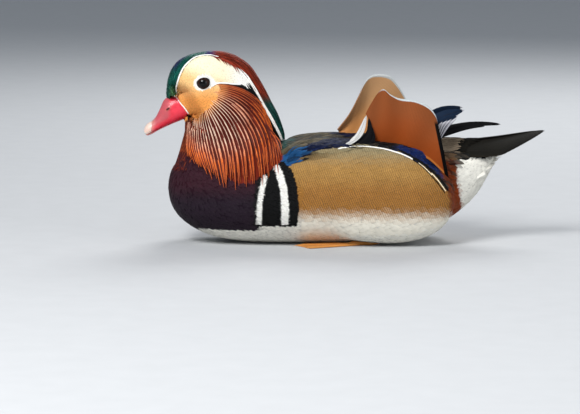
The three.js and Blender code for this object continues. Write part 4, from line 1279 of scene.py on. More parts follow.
def hackle_material():
    """Maroon hackles with a streak that goes from white at the cheek to orange at the tips."""
    recipe = Recipe("hackles")
    across, along = recipe.vane()
    x, y, z = recipe.split(recipe.place())
    from_shaft = abs(across - 0.5) * 2
    cloud = recipe.noise(160.0, 3.0)
    fine = recipe.noise(1300.0, 2.0)
    comb = recipe.sine((along * 3.0 + from_shaft * -0.5) * 70.0) * 0.5 + 0.5
    cheek = oval_share(recipe, x, z, -119.0, 112.0, -0.6, 40.0, 25.0)
    far = recipe.smooth(cheek + cloud * 0.6, 0.75, 1.75)
    streak = recipe.smooth(from_shaft + fine * 0.14 + far * 0.05, 0.36, 0.2)
    pale = recipe.mix(far, (0.92, 0.72, 0.54), (0.84, 0.17, 0.018))
    high = recipe.smooth(z + x * 0.35, 0.084, 0.1)
    pale = recipe.mix(high * 0.85, pale, (0.56, 0.12, 0.025))
    base = recipe.tinted(
        recipe.attribute("tint"), recipe.mix(comb * 0.3 + cloud * 0.6, (0.6, 0.55, 0.55), (1.2, 1.1, 1.0))
    )
    # Painted shade: each hackle darkened near black towards its edges, for the shade in the gaps between
    # hackles
    rim = recipe.smooth(from_shaft, 0.5, 0.95)
    base = recipe.mix(rim * 0.8, base, (0.04, 0.007, 0.004))
    colour = recipe.mix(streak * 0.95, base, pale)
    return recipe.finish(
        colour, 0.55 + comb * 0.1, comb * 0.3 + fine * 0.2, 0.00012, Specular_IOR_Level=0.2
    )


# The crest's ridge in the side drawing, from the crown to its tip, with the depth down to its side
CREST_RIDGE = [
    (203, 54.5, 4.5, 8.5), (212, 52.2, 5.5, 9.5), (221, 52.2, 6.2, 9.5), (230, 54, 6.8, 9.0),
    (240, 58.5, 7.2, 8.5), (250, 66, 7.4, 8.0), (258, 77, 7.2, 7.6), (265, 89, 7.0, 7.2),
    (271, 101, 6.8, 6.8), (277, 112, 6.2, 6.2), (281, 122, 5.2, 5.4), (284.5, 133, 3.8, 4.2),
    (285, 142, 2.2, 2.6),
]


def crest_at(s, k):
    """A point on the crest: s from crown to tip, k across it, 0 on the ridge and 1 at the white stripe."""
    across, down, depth, half = read_rows(CREST_RIDGE, s)
    next_across, next_down, _, _ = read_rows(CREST_RIDGE, min(s + 0.02, 1))
    last_across, last_down, _, _ = read_rows(CREST_RIDGE, max(s - 0.02, 0))
    along = Vector((next_across - last_across, 0, -(next_down - last_down))).normalized()
    out = Vector((-along.z, 0, along.x))
    if out.z < 0 and out.x < 0:
        out.negate()
    ridge = Vector((model_x(across), 0, model_z(down)))
    drop = depth * k * k
    wide = half * math.sin(min(abs(k), 1.0) * math.pi / 2) * (1 - 0.12 * max(abs(k) - 1, 0))
    place = ridge - out * drop + Vector((0, math.copysign(wide, k), 0))
    up = (out * (1.05 - abs(k) * 0.75) + Vector((0, math.copysign(abs(k), k), 0))).normalized()
    return place, up


def above(skin, place, least):
    """The place, or the skin's outside where it would lie under it."""
    near, normal = skin.near(place)
    gap = (place - near).dot(normal)
    return place if gap >= least else near + normal * least


def strand(plumage, skin, rng, start, end, k0, k1, width, paint, gloss, layer=0.0, rise=0.8):
    steps = plumage.rings
    stations, ups, tints = [], [], []
    tone = 1 + 0.5 * math.sin(40 * k0 + 9 * start) * (gloss > 0)
    for i in range(steps + 1):
        t = i / steps
        place, up = crest_at(start + (end - start) * t, k0 + (k1 - k0) * t)
        place = place - up * (layer + 0.9 - rise * t)
        place = above(skin, place, 0.1 + 0.9 * t)
        stations.append(place)
        ups.append(up)
        tints.append(paint(place, t) * tone)
    plumage.add(stations, ups, width * (1 + 0.12 * rng.standard_normal()), tints, gloss)


def crest_paint(place, t):
    down = draw_y(place.y, place.z)
    across = draw_x(place.x)
    colour = PAINT["purple"] + (PAINT["copper"] - PAINT["purple"]) * ramp(across, 209, 219)
    return colour + (PAINT["crest_green"] - colour) * ramp(down, 95, 104)


def build_crest(skin, material):
    """Long copper and green plumes from the crown down the nape, edged in white."""
    rng = np.random.default_rng(7)
    plumage = Plumage(7, (0.4, 0.75, 1.0, 1.0, 0.9, 0.68, 0.4), 0.22)
    for layer, (first, last, count) in enumerate(((0.0, 0.8, 26), (0.1, 0.86, 22))):
        for i in range(count):
            start = first + (last - first) * i / (count - 1)
            for j in range(15):
                k = -0.97 + 1.94 * j / 14 + 0.05 * rng.standard_normal()
                end = min(start + 0.2 + 0.05 * rng.standard_normal(), 1.0)
                squeeze = 0.92
                strand(
                    plumage, skin, rng, start + 0.012 * rng.standard_normal(), end, k, k * squeeze,
                        SIZE["crest_width"],
                    crest_paint, 0.85 if start > 0.6 else 0.5, layer * 1.6,
                )
    for _, side in SIDES:
        for i in range(26):
            start = 0.36 + 0.5 * i / 25
            for k in (1.0, 1.1):
                strand(
                    plumage, skin, rng, start, min(start + 0.16, 1.0), side * k, side * (k * 0.96), 1.5,
                    lambda place, t: PAINT["white"], 0.0, 0.0, 1.1,
                )
        for i in range(22):
            start = 0.5 + 0.36 * i / 21
            for k in (1.22, 1.34, 1.46):
                strand(
                    plumage, skin, rng, start, min(start + 0.17, 1.0), side * k, side * (k * 0.96), 1.8,
                    lambda place, t: PAINT["black"], 0.4, 0.3,
                )
        for i in range(30):
            start = 0.05 + 0.22 * i / 29
            strand(
                plumage, skin, rng, start, start + 0.1 + 0.03 * rng.random(), side * 0.8,
                side * (1.25 + 0.2 * rng.random()), 0.9, crest_paint, 0.4, 0.0, 0.9,
            )
    return plumage.build("crest_plumes", material, head_unwrap)


def curve_through(points, share):
    return Vector(read_rows([tuple(p) for p in points], share))


def long_feather(plumage, points, facing, width, tints, gloss=0.0, roll=0.0):
    """A large vane along a smooth path, its face turned to facing."""
    steps = plumage.rings
    stations, ups = [], []
    for k in range(steps + 1):
        t = k / steps
        place = curve_through(points, t)
        ahead = curve_through(points, min(t + 0.05, 1)) - curve_through(points, max(t - 0.05, 0))
        ahead.normalize()
        up = Vector(facing)
        up = (up - ahead * up.dot(ahead)).normalized()
        stations.append(place)
        ups.append(up)
    plumage.add(stations, ups, width, tints, gloss)


def mirrored(points, side):
    return [Vector((x, side * y, z)) for x, y, z in points]


# Paths of the drooping scapulars in the side drawing, with how far out they lie and their width
BLACK_SCAPULARS = [
    ([(346, 147.6, 39.6), (357, 144.8, 39), (364.6, 139.6, 38), (368.4, 132, 37), (367.4, 119, 35.4)], 6.4),
    ([(340, 149.6, 39.4), (352, 148, 39.2), (362, 144.6, 38.6), (368, 139, 37.8), (370.4, 130, 36.8)], 4.8),
    ([(350, 149.4, 39), (361, 148, 38.8), (368.4, 144, 38.2), (371.8, 138.4, 37.4), (370, 127, 36)], 5.0),
]
WHITE_SCAPULARS = [
    ([(326, 151.6, 40), (337, 149.2, 40.6), (347, 144.8, 40.8), (355, 139.4, 40.2), (361.6, 131, 39)], 2.4),
    ([(342, 147.4, 41), (352, 142.6, 41), (359, 136.4, 40.4), (362.8, 128.6, 39.2), (365.4, 116.6, 37.6)],
        3.0),
    ([(349, 143.6, 40.6), (355.4, 138.8, 40.4), (359.6, 132.4, 39.8), (362.2, 126, 38.8), (364.8, 117.4,
        37.4)], 4.6),
]
FAR_DROP = 9
TAIL_TIP = (171.6, 3.2, 95.2)
TAIL_OUTER = (139, 25, 79.5)
TAIL_PAIRS = 12


def broad_material(name, middle, edge_colour, edge_at=0.86, tip_colour=None, tip_at=0.8, rough=0.45,
    metal=0.25):
    """A large vane's look: shaft, slanting barbs, and a rim or tip of its own colour."""
    recipe = Recipe(name)
    across, along = recipe.vane()
    from_shaft = abs(across - 0.5) * 2
    slant = recipe.sine((along * 26.0 + from_shaft * -5.0) * 12.0) * 0.5 + 0.5
    cloud = recipe.noise(90.0, 3.0)
    fine = recipe.noise(900.0, 3.0)
    base = recipe.mix(cloud, middle[0], middle[1])
    base = recipe.tinted(base, recipe.mix(slant * 0.5 + fine * 0.5, (0.72, 0.72, 0.72), (1.1, 1.1, 1.1)))
    if tip_colour:
        base = recipe.mix(recipe.smooth(along + cloud * 0.06, tip_at, tip_at + 0.03), base, tip_colour)
    if edge_colour:
        base = recipe.mix(recipe.smooth(across + fine * 0.04, edge_at, edge_at + 0.04), base, edge_colour)
    shaft = recipe.smooth(from_shaft, 0.07, 0.03)
    base = recipe.mix(shaft * 0.7, base, (0.02, 0.016, 0.014))
    height = slant * 0.4 + shaft * 1.5 + fine * 0.2
    return recipe.finish(base, rough + slant * 0.08, height, 0.0003, Metallic=metal, Specular_IOR_Level=0.15)


def drawn_path(points, side):
    """Points of the near side's drawing as places on either side of the bird."""
    return [Vector((model_x(a), side * out, model_z(d, out))) for a, d, out in points]


def build_scapulars():
    """The white and black feathers that droop between the shoulder and the sail."""
    white = broad_material(
        "white scapular", ((0.84, 0.83, 0.8), (0.92, 0.91, 0.88)), None, 1, None, 1, 0.55, 0.0
    )
    black = broad_material(
        "black scapular", ((0.002, 0.002, 0.003), (0.005, 0.005, 0.008)), None, 1, None, 1, 0.8, 0.0
    )
    shape = (0.5, 0.8, 0.95, 1.0, 1, 1, 0.98, 0.95, 0.88, 0.76, 0.58, 0.34)
    for name, side in SIDES:
        for kind, look, plan in (("white", white, WHITE_SCAPULARS), ("black", black, BLACK_SCAPULARS)):
            plumage = Plumage(12, shape, 0.1, 7)
            for points, width in plan:
                points = [(a, d if side < 0 else d + FAR_DROP, out) for a, d, out in points]
                long_feather(plumage, drawn_path(points, side), (-0.1, side, 0.2), width, [PAINT["white"]]
                    * 2)
            obj = plumage.build(f"scapulars_{kind}_{name}", look, trunk_unwrap)
            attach(obj, "root")


# Outlines of the sails in the side drawing: across, down, and the distance out to the side
SAILS = {
    "left": ([(370.5, 142, -30), (379, 145.5, -32), (388, 147.5, -34), (397, 149, -36), (407, 152, -38),
        (418, 156, -40), (427, 161, -41.5), (435, 168, -43), (441, 174, -44), (446, 178.5, -44)], [(364.5,
        115, -29), (370.5, 104, -28), (377, 94.5, -27), (382.5, 91.2, -27), (389, 96.3, -28.5), (398,
        100.3, -30), (413, 102, -32), (425.5, 107.6, -34), (432.7, 116, -36), (435.5, 125, -37)]),
    "right": ([(336, 133, 25), (342, 134, 27), (349, 134.6, 29), (356, 136, 31), (364, 138, 33), (374, 140,
        35), (386, 143, 37), (400, 148, 40), (416, 155, 42), (434, 168, 43)], [(338, 129.5, 26), (350, 114,
        26), (359.5, 96, 25), (364, 85, 25), (370, 77, 25.5), (378, 74.3, 26), (390, 76, 28), (398, 84,
        31), (404, 94, 33), (409, 104, 34)]),
}
SAIL_BULGE = 5.0


def sail_material(name, rear_line):
    """An orange vane with fine rays, paler on its inner face, a white upper rim and a black rear edge."""
    recipe = Recipe(name)
    back, up = recipe.vane()
    outer = recipe.attribute("gloss", "Fac")
    cloud = recipe.noise(36.0, 3.0)
    fine = recipe.noise(1100.0, 2.0)
    rays = recipe.sine((back * 1.0 + up * -0.22 + cloud * 0.012) * 520.0) * 0.5 + 0.5
    # Painted shade of folds: broad lighter and darker bands across the flat vane
    painted_fold_shade = recipe.sine((back * 1.0 + up * -0.3 + cloud * 0.1) * 19.0) * 0.5 + 0.5
    high = recipe.smooth(up + cloud * 0.5, 0.35, 1.15)
    inner_face = recipe.mix(high, (0.6, 0.27, 0.09), (0.62, 0.36, 0.18))
    outer_face = recipe.mix(high, (0.25, 0.05, 0.008), (0.22, 0.062, 0.018))
    colour = recipe.mix(outer, inner_face, outer_face)
    colour = recipe.tinted(colour, recipe.mix(rays * 0.6 + fine * 0.4, (0.82, 0.8, 0.78), (1.08, 1.06,
        1.04)))
    colour = recipe.tinted(colour, recipe.mix(painted_fold_shade, (0.93, 0.92, 0.9), (1.09, 1.08, 1.06)))
    # Painted glow: a brighter orange along the sail's foot
    painted_glow = recipe.smooth(up + fine * 0.01, 0.075, 0.03)
    colour = recipe.mix(painted_glow * 0.7, colour, (0.6, 0.2, 0.04))
    growing = recipe.smooth(back, 0.2, 0.75) * 0.03
    rim = recipe.smooth(up + fine * 0.014 + growing, 0.985, 1.003) * recipe.smooth(back, 0.2, 0.34)
    colour = recipe.mix(rim * 0.9, colour, (0.54, 0.6, 0.61))
    x, y, z = recipe.split(recipe.place())
    (x1, z1), (x2, z2) = rear_line
    slope = (x2 - x1) / (z1 - z2)
    line = x + z * slope - (x1 + z1 * slope) * MM
    rear = recipe.smooth(line + fine * 0.0002, -0.0031, -0.0026) * recipe.smooth(z, (z1 + 3) * MM, (z1 - 1)
        * MM)
    colour = recipe.mix(rear, colour, (0.001, 0.001, 0.001))
    height = rays * 0.5 + fine * 0.2
    return recipe.finish(colour, 0.6 + rays * 0.08, height, 0.0002, Specular_IOR_Level=0.07)


def sail_place(rows, u, v):
    foot, edge = rows
    low, high = read_rows(foot, u), read_rows(edge, u)
    across, down, out = (a + (b - a) * v for a, b in zip(low, high))
    side = math.copysign(1, out)
    out += side * SAIL_BULGE * math.sin(math.pi * v)
    bow = 2.2 * math.sin(math.pi * v) * (1 - u) ** 3
    return Vector((model_x(across + bow), out, model_z(down) - NEAR_RISE * out))


def build_sails():
    """The two upright orange feathers of the folded wings."""
    for name, side in SIDES:
        bm = bmesh.new()
        grid = bmesh.ops.create_grid(bm, x_segments=90, y_segments=40, size=0.5)
        layer = bm.loops.layers.uv.new("vane")
        for face in bm.faces:
            for loop in face.loops:
                loop[layer].uv = (loop.vert.co.x + 0.5, loop.vert.co.y + 0.5)
        for v in grid["verts"]:
            v.co = sail_place(SAILS[name], v.co.x + 0.5, v.co.y + 0.5)
        bmesh.ops.recalc_face_normals(bm, faces=bm.faces)
        bmesh.ops.solidify(bm, geom=bm.faces[:], thickness=SIZE["sail_thick"])
        obj = finish_mesh(bm, f"sail_vane_{name}")
        facing = np.zeros(len(obj.data.vertices) * 3, np.float32)
        obj.data.vertices.foreach_get("normal", facing)
        half = len(facing) // 6
        leads = facing[1 : 3 * half : 3].mean() * side > 0
        outer = obj.data.attributes.new("gloss", "FLOAT", "POINT")
        outer.data.foreach_set("value", np.repeat((leads, not leads), half).astype(np.float32))
        rear_line = [(sail_place(SAILS[name], 1.0, v).x, sail_place(SAILS[name], 1.0, v).z) for v in (1.0,
            0.0)]
        obj.data.materials.append(sail_material(f"sail {name}", rear_line))
        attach(obj, "root")
        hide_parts(f"sail_{name}")


# Paths of the wing's long feathers in the side drawing, with how far out they lie, and their widths
SECONDARIES = [
    ([(400, 140, 26), (425, 127, 24), (444, 116.5, 20), (463, 111, 14)], 10.5),
    ([(402, 143, 28), (424, 131, 27), (441, 121.8, 23), (456.5, 116.6, 18)], 8.5),
]
WHITE_TIPS = [
    ([(432, 148, 27), (438, 139, 26.5), (446, 127, 24), (455.5, 118.6, 20)], 3.3),
    ([(431.5, 147, 28), (437, 137.5, 27.5), (442.5, 127, 25.5), (450, 120.2, 22)], 3.3),
    ([(431, 146, 29), (435.8, 136.5, 28.5), (439.6, 127.5, 27), (445, 121.8, 24)], 3.2),
    ([(430, 146, 30), (434.2, 136, 29.5), (437, 128, 28), (440.5, 123, 26)], 3.0),
]
PRIMARIES = [
    ([(412, 146, 22), (436, 135.6, 17), (462, 127.6, 10), (482, 125, 6.5), (500, 125.2, 4)], 4.4),
    ([(412, 148, 24), (436, 137.6, 19), (458, 130.4, 12.5), (472, 127.6, 9), (484, 126.8, 7)], 4.2),
]


def build_flight():
    """Blue secondaries with white tips, and slim black primaries."""
    blue = broad_material(
        "secondary vane", ((0.006, 0.016, 0.04), (0.012, 0.03, 0.068)), None, 1, (0.7, 0.7, 0.76), 0.955,
            0.45, 0.2
    )
    white = broad_material(
        "secondary tip", ((0.62, 0.62, 0.68), (0.74, 0.74, 0.78)), (0.03, 0.03, 0.05), 0.84, None, 1, 0.5,
            0.0
    )
    black = broad_material(
        "primary vane", ((0.003, 0.003, 0.004), (0.007, 0.007, 0.008)), None, 1, None, 1, 0.5, 0.0
    )
    full = (0.4, 0.7, 0.88, 0.96, 1, 1, 0.99, 0.96, 0.88, 0.74, 0.54, 0.28)
    slim = (0.7, 0.86, 0.96, 1, 1, 0.95, 0.88, 0.8, 0.72, 0.62, 0.5, 0.34)
    for name, side in SIDES:
        for kind, look, plan, shape in (
            ("secondaries", blue, SECONDARIES, full),
            ("white_tips", white, WHITE_TIPS, full),
            ("primaries", black, PRIMARIES, slim),
        ):
            stack = Plumage(12, shape, 0.08, 7)
            for points, width in plan:
                long_feather(stack, drawn_path(points, side), (-0.15, side, 0.25), width, [PAINT["black"]]
                    * 2)
            obj = stack.build(f"{kind}_{name}", look, trunk_unwrap)
            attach(obj, "root")
            if kind == "secondaries":
                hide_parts(f"wing_{name}")


# The rump's coverts: their upper and lower rows in the side drawing, and how far out the upper one lies
RUMP_ROWS = [
    ((416, 147), (424, 165), 4), ((426, 141.5), (431, 161.5), 4.5), ((436, 138.6), (439, 158.6), 4),
    ((446, 138.4), (447, 157), 3),
]


# The white coverts under the tail, in the same way
UNDERTAIL_ROWS = [
    ((448, 161), (452, 182), 6), ((458, 160), (458, 181), 6.5), ((468, 158.6), (466, 178), 5.5),
    ((479, 156.6), (473, 176), 4),
]


def build_tail():
    """Tail feathers in pairs, roofed to a slanted tip, and the brown coverts over their roots."""
    look = broad_material(
        "tail vane", ((0.004, 0.004, 0.003), (0.014, 0.012, 0.008)), (0.03, 0.024, 0.016), 0.95, None, 1,
            0.75, 0.0
    )
    shape = (0.5, 0.74, 0.88, 0.95, 0.99, 1, 1, 0.98, 0.94, 0.86, 0.7, 0.4)
    tail = Plumage(12, shape, 0.06, 7)
    for pair in range(TAIL_PAIRS):
        share = pair / (TAIL_PAIRS - 1)
        root = (96, 0.6 + 7 * share, 84.5 - 6.5 * share)
        tip = [
            TAIL_TIP[0] + (TAIL_OUTER[0] - TAIL_TIP[0]) * share**1.3,
            TAIL_TIP[1] + (TAIL_OUTER[1] - TAIL_TIP[1]) * share,
            TAIL_TIP[2] + (TAIL_OUTER[2] - TAIL_TIP[2]) * share**1.2,
        ]
        middle = [(a + b) / 2 for a, b in zip(root, tip)]
        middle[2] -= 1.2 * (1 - share)
        roof = 0.42 + 0.5 * share
        for _, side in SIDES:
            facing = (0, side * math.sin(roof), math.cos(roof))
            long_feather(tail, mirrored((root, middle, tip), side), facing, SIZE["tail_width"],
                [PAINT["tail"]] * 2)
    obj = tail.build("tail_vanes", look, trunk_unwrap)
    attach(obj, "root")
    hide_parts("tail")
    brown = broad_material(
        "rump vane", ((0.27, 0.2, 0.13), (0.58, 0.46, 0.33)), (0.1, 0.075, 0.05), 0.94, None, 1, 0.7, 0.0
    )
    white = plumage_material("undertail vane", shaft=0.0, fringe=0.0, rough=0.7, shine=0.0, mottle=0.3)
    build_coverts("undertail_coverts", white, UNDERTAIL_ROWS, (4.0, 3.0, 2.0, 1.0, 0.0), 79)
    build_coverts("tail_coverts", look, RUMP_ROWS, (6.2, 5.0), 78)
    build_coverts("rump_coverts", brown, RUMP_ROWS, (3.6, 2.4, 1.2, 0.0), 77)


def build_coverts(name, look, rows, ranks, seed):
    """Ranks of pointed feathers over the tail's roots, each rank further back than the next."""
    rng = np.random.default_rng(seed)
    shape = (0.5, 0.76, 0.9, 0.98, 1, 0.96, 0.88, 0.78, 0.66, 0.52, 0.36, 0.18)
    coverts = Plumage(12, shape, 0.1, 7)
    for _, side in SIDES:
        for rank in ranks:
            for row in range(10):
                t = (row + 0.6 * rng.random()) / 10
                shift = 5.5 * rank * (1 - 0.8 * t) + 5 * rng.random()
                points = [
                    (a + (c - a) * t + shift, b + (d - b) * t, max(out + 15 * t - 0.25 * rank, 1))
                    for (a, b), (c, d), out in rows
                ]
                facing = (-0.1, side * (0.25 + t), 1 - 0.5 * t)
                long_feather(coverts, drawn_path(points, side), facing, 5.0, [PAINT["belly"]] * 2)
    obj = coverts.build(name, look, trunk_unwrap)
    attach(obj, "root")


def any_of(outlines, across, down):
    held = np.zeros(len(across), bool)
    for outline in outlines:
        held |= inside(outline, across, down)
    return held


HEAD_AREAS = (FOREHEAD, CROWN, NAPE, BROW, EAR_BAND, EYE_RING, THROAT, MANE)
SHOULDER_AREAS = (OLIVE_SHOULDER, BLUE_SHOULDER, TURQUOISE_GLINT)


def on_face(points, normals, across, down):
    held = any_of((BROW, EYE_RING), across, down)
    for _, side in SIDES:
        centre = np.array(eye_centre(side))
        held &= np.linalg.norm(points - centre, axis=1) > SIZE["eye_radius"] + 0.9
    in_bill = (behind_bill(points[:, 0], points[:, 2]) < 0.6) & (points[:, 2] < 124.5)
    return held & (points[:, 2] > 95) & ~in_bill


def on_crown(points, normals, across, down):
    return any_of((FOREHEAD, CROWN, NAPE, EAR_BAND), across, down) & (points[:, 2] > 88)


def on_throat(points, normals, across, down):
    front = (points[:, 0] < -118) & (np.abs(points[:, 1]) < 26) & (points[:, 2] > 66) & (points[:, 2] < 112)
    return (inside(THROAT, across, down) | front) & ~any_of((BROW, FOREHEAD), across, down)


def on_trunk(points, normals, across, down):
    return ~(any_of(HEAD_AREAS, across, down) & (points[:, 2] > 60)) & (points[:, 2] > 1.2)


def on_breast(points, normals, across, down):
    held = inside(BREAST, across, down) & ~inside(BAR_AREA, across, down)
    return held & on_trunk(points, normals, across, down)


def on_bars(points, normals, across, down):
    held = inside(BAR_AREA, across, down) & on_trunk(points, normals, across, down)
    return held & (points[:, 2] > 10)


def on_flank(points, normals, across, down):
    held = inside(FLANK_AREA, across, down) & ~any_of((BAR_AREA, *SHOULDER_AREAS), across, down)
    return held & (normals[:, 2] > -0.9)


def on_shoulder(points, normals, across, down):
    held = any_of(SHOULDER_AREAS, across, down) & ~inside(BAR_AREA, across, down)
    return held & on_trunk(points, normals, across, down)


def on_back(points, normals, across, down):
    held = any_of((BACK, WING_SHADE, RUMP_AREA), across, down) & ~any_of(
        (FLANK_AREA, BAR_AREA, *SHOULDER_AREAS), across, down
    )
    return held & on_trunk(points, normals, across, down)


def on_rest(points, normals, across, down):
    taken = any_of((BREAST, BAR_AREA, FLANK_AREA, *SHOULDER_AREAS, BACK, WING_SHADE, RUMP_AREA), across,
        down)
    return ~taken & on_trunk(points, normals, across, down)


def flank_material():
    """Buff vanes crossed by fine wavy dark lines, fainter above and fading out low down, and greyer above.
    """
    recipe = Recipe("flank plumage")
    across, along = recipe.vane()
    from_shaft = abs(across - 0.5) * 2
    place = recipe.place()
    x, y, z = recipe.split(place)
    bend = recipe.noise(150.0, 3.0)
    fine = recipe.noise(1000.0, 2.0)
    cloud = recipe.noise(60.0, 3.0)
    lines = recipe.sine((x * 1.0 + z * 0.42 + bend * 0.003) * 3500.0) * 0.5 + 0.5
    cross = recipe.sine((z * 1.0 - x * 0.3 + bend * 0.0034) * 3100.0) * 0.5 + 0.5
    pencil = recipe.smooth(lines + cross * 0.45 + fine * 0.2, 0.72, 1.12)
    strength = (0.62 - recipe.smooth(z, 0.045, 0.078) * 0.25) * recipe.smooth(z, 0.02, 0.036)
    tint = recipe.attribute("tint")
    colour = recipe.tinted(tint, recipe.mix(cloud, (0.86, 0.84, 0.8), (1.12, 1.1, 1.06)))
    colour = recipe.mix(pencil * strength, colour, (0.09, 0.05, 0.022))
    rim = recipe.smooth(along + from_shaft * 0.1, 0.9, 1.06)
    colour = recipe.mix(rim * 0.1, colour, (0.8, 0.7, 0.5))
    comb = recipe.sine((along * 2.4 + from_shaft * -0.8) * 60.0) * 0.5 + 0.5
    return recipe.finish(
        colour, 0.7 + comb * 0.06, comb * 0.3 + fine * 0.2, 0.0001, Specular_IOR_Level=0.15
    )


def build_feet():
    """The webbed feet, folded under the flanks."""
    recipe = Recipe("foot web")
    cells = recipe.node(
        "ShaderNodeTexVoronoi", {"feature": "DISTANCE_TO_EDGE"}, {"Vector": recipe.place(), "Scale": 900.0}
    )
    cloud = recipe.noise(120.0, 4.0)
    colour = recipe.mix(cloud, (0.62, 0.2, 0.03), (0.8, 0.36, 0.07))
    colour = recipe.mix(recipe.smooth(cells, 0.08, 0.0) * 0.5, colour, (0.2, 0.07, 0.02))
    look = recipe.finish(colour, 0.5 + cloud * 0.15, recipe.smooth(cells, 0.0, 0.2), 0.0002,
        Coat_Weight=0.15)
    for name, side in SIDES:
        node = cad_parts[f"foot_{name}"]
        bm = bmesh.new()
        bm.from_mesh(node.data)
        bmesh.ops.remove_doubles(bm, verts=bm.verts, dist=1e-6)
        bmesh.ops.scale(bm, vec=(1 / MM, 1 / MM, 1 / MM), verts=bm.verts)
        obj = finish_mesh(bm, f"webbed_foot_{name}")
        fuse = obj.modifiers.new("fuse", "REMESH")
        fuse.mode = "VOXEL"
        fuse.voxel_size = 0.4 * MM
        ease = obj.modifiers.new("ease", "SMOOTH")
        ease.factor = 0.5
        ease.iterations = 5
        apply_modifiers(obj)
        obj.data.shade_smooth()
        obj.data.materials.append(look)
        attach(obj, "root")
        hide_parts(f"foot_{name}")


def build_coats(skin, skin_obj):
    """Short feathers over the whole bird, area by area."""
    soft = plumage_material("soft plumage", barbs=14.0, shaft=0.05, fringe=0.02, rough=0.66, shine=0.25,
        mottle=0.6)
    face = plumage_material("face plumage", barbs=8.0, shaft=0.0, fringe=0.0, rough=0.7, shine=0.1,
        mottle=0.35)
    glossy = plumage_material("glossy plumage", barbs=12.0, shaft=0.15, fringe=0.0, rough=0.5, shine=0.5,
        mottle=1.0)
    back = plumage_material("back plumage", barbs=20.0, shaft=0.4, fringe=0.06, rough=0.6, shine=0.2,
        mottle=1.2)
    flank = flank_material()
    down = lie_of_body
    shade = ("bronze", "black", "olive_brown", "dusk")
    plans = (
        ("face_coat", on_face, face, head_unwrap, "face", (0.85, lie_of_head, SIZE["face_feather"], 1.7,
            0.22, 0.02, 0.015, 0.2, ())),
        ("crown_coat", on_crown, glossy, head_unwrap, "crest", (1.3, lie_of_head, 5.2, 1.5, 0.6, 0.12,
            0.08, 0.3, ())),
        ("throat_coat", on_throat, soft, head_unwrap, "throat", (1.2, lie_of_neck, 5.5, 1.3, 0.7, 0.15,
            0.16, 0.3, ("maroon", "rust"))),
        ("breast_coat", on_breast, soft, trunk_unwrap, "breast", (2.0, down, SIZE["breast_feather"], 3.2,
            0.45, 0.05, 0.05, 0.3, ())),
        ("bar_coat", on_bars, soft, trunk_unwrap, "breast", (1.0, down, 3.6, 1.3, 0.5, 0.1, 0.05, 0.0, ())),
        ("flank_coat", on_flank, flank, trunk_unwrap, "flank", (2.6, down, SIZE["flank_feather"], 5.6,
            0.35, 0.03, 0.03, 0.3, ())),
        ("shoulder_coat", on_shoulder, back, trunk_unwrap, "shoulder", (2.0, lie_of_shoulder,
            SIZE["shoulder_feather"], 2.6, 0.9, 0.12, 0.32, 1.0, shade)),
        ("back_coat", on_back, back, trunk_unwrap, "torso", (2.6, down, SIZE["back_feather"], 4.2, 0.8,
            0.08, 0.12, 0.8, shade[:2])),
        ("belly_coat", on_rest, soft, trunk_unwrap, "torso", (1.9, lie_of_tail_end, 5.4, 3.0, 0.4, 0.05,
            0.03, 0.4, ())),
    )
    for index, (name, wanted, look, unwrap, slot, lay_plan) in enumerate(plans):
        obj = coat(skin, name, wanted, lay_plan, look, unwrap, 100 + 10 * index)
        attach(obj, "root")
    build_lines(skin, face)


# Thin lines of feathers in the side drawing, with their width in millimetres and their colour
LINES = {
    "gape_corner": ([(187.2, 114.4), (189.4, 116.8), (191.4, 119.4)], 1.5, "black"),
    "brow_front": ([(177.6, 98), (177.2, 90), (179.2, 83), (181.7, 76), (185, 69.6), (190, 64), (195,
        60.2), (201, 57.8), (208.8, 57), (215, 57.8), (219, 59)], 1.5, "white"),
    "eye_corner": ([(212, 88.6), (218, 85.2), (226, 84.8), (234, 85.6), (241, 85.8)], 1.3, "white"),
    "bill_edge": ([(176.6, 98), (181, 103.4), (185.5, 109), (189, 114)], 1.0, "white"),
    "flank_top": ([(337, 150), (350, 148.4), (362, 147.8), (380, 149.8), (395, 153.6), (404, 157), (410.5,
        160.4)], 1.2, "white"),
    "flank_shade": ([(350, 145.6), (362, 145), (380, 147), (395, 150.8), (405, 155), (412, 158.4)], 1.7,
        "black"),
    "flank_dark": ([(408, 157.6), (417, 162), (425, 168), (433, 175.4), (441, 184.4), (445, 191)], 2.3,
        "black"),
    "flank_gap": ([(410, 160.6), (418, 166.4), (426, 174), (434, 183), (442, 193.4)], 0.9, "black"),
    "flank_rear": ([(416, 164), (423, 169.8), (429, 176.2)], 0.9, "cream"),
    "flank_tip": ([(428.4, 173.8), (435, 181), (442.6, 191.4)], 1.0, "cream"),
}


def build_lines(skin, look):
    """Rows of narrow feathers along the fine lines between the markings."""
    plumage = Plumage(4, (0.6, 1.0, 1.0, 0.8), 0.1)
    for points, width, paint in LINES.values():
        for _, side in SIDES:
            places = [seen(skin, *read_rows(points, i / 60), side) for i in range(61)]
            for i in range(0, 57):
                steps = [places[min(i + k, 60)] for k in range(5)]
                stations = [place + up * (0.45 + 0.12 * k) for k, (place, up) in enumerate(steps)]
                if (stations[-1] - stations[0]).length < 0.5:
                    continue
                plumage.add(stations, [up for _, up in steps], width, [PAINT[paint]] * 2, 0.0)
    obj = plumage.build("fine_lines", look, trunk_unwrap)
    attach(obj, "root")


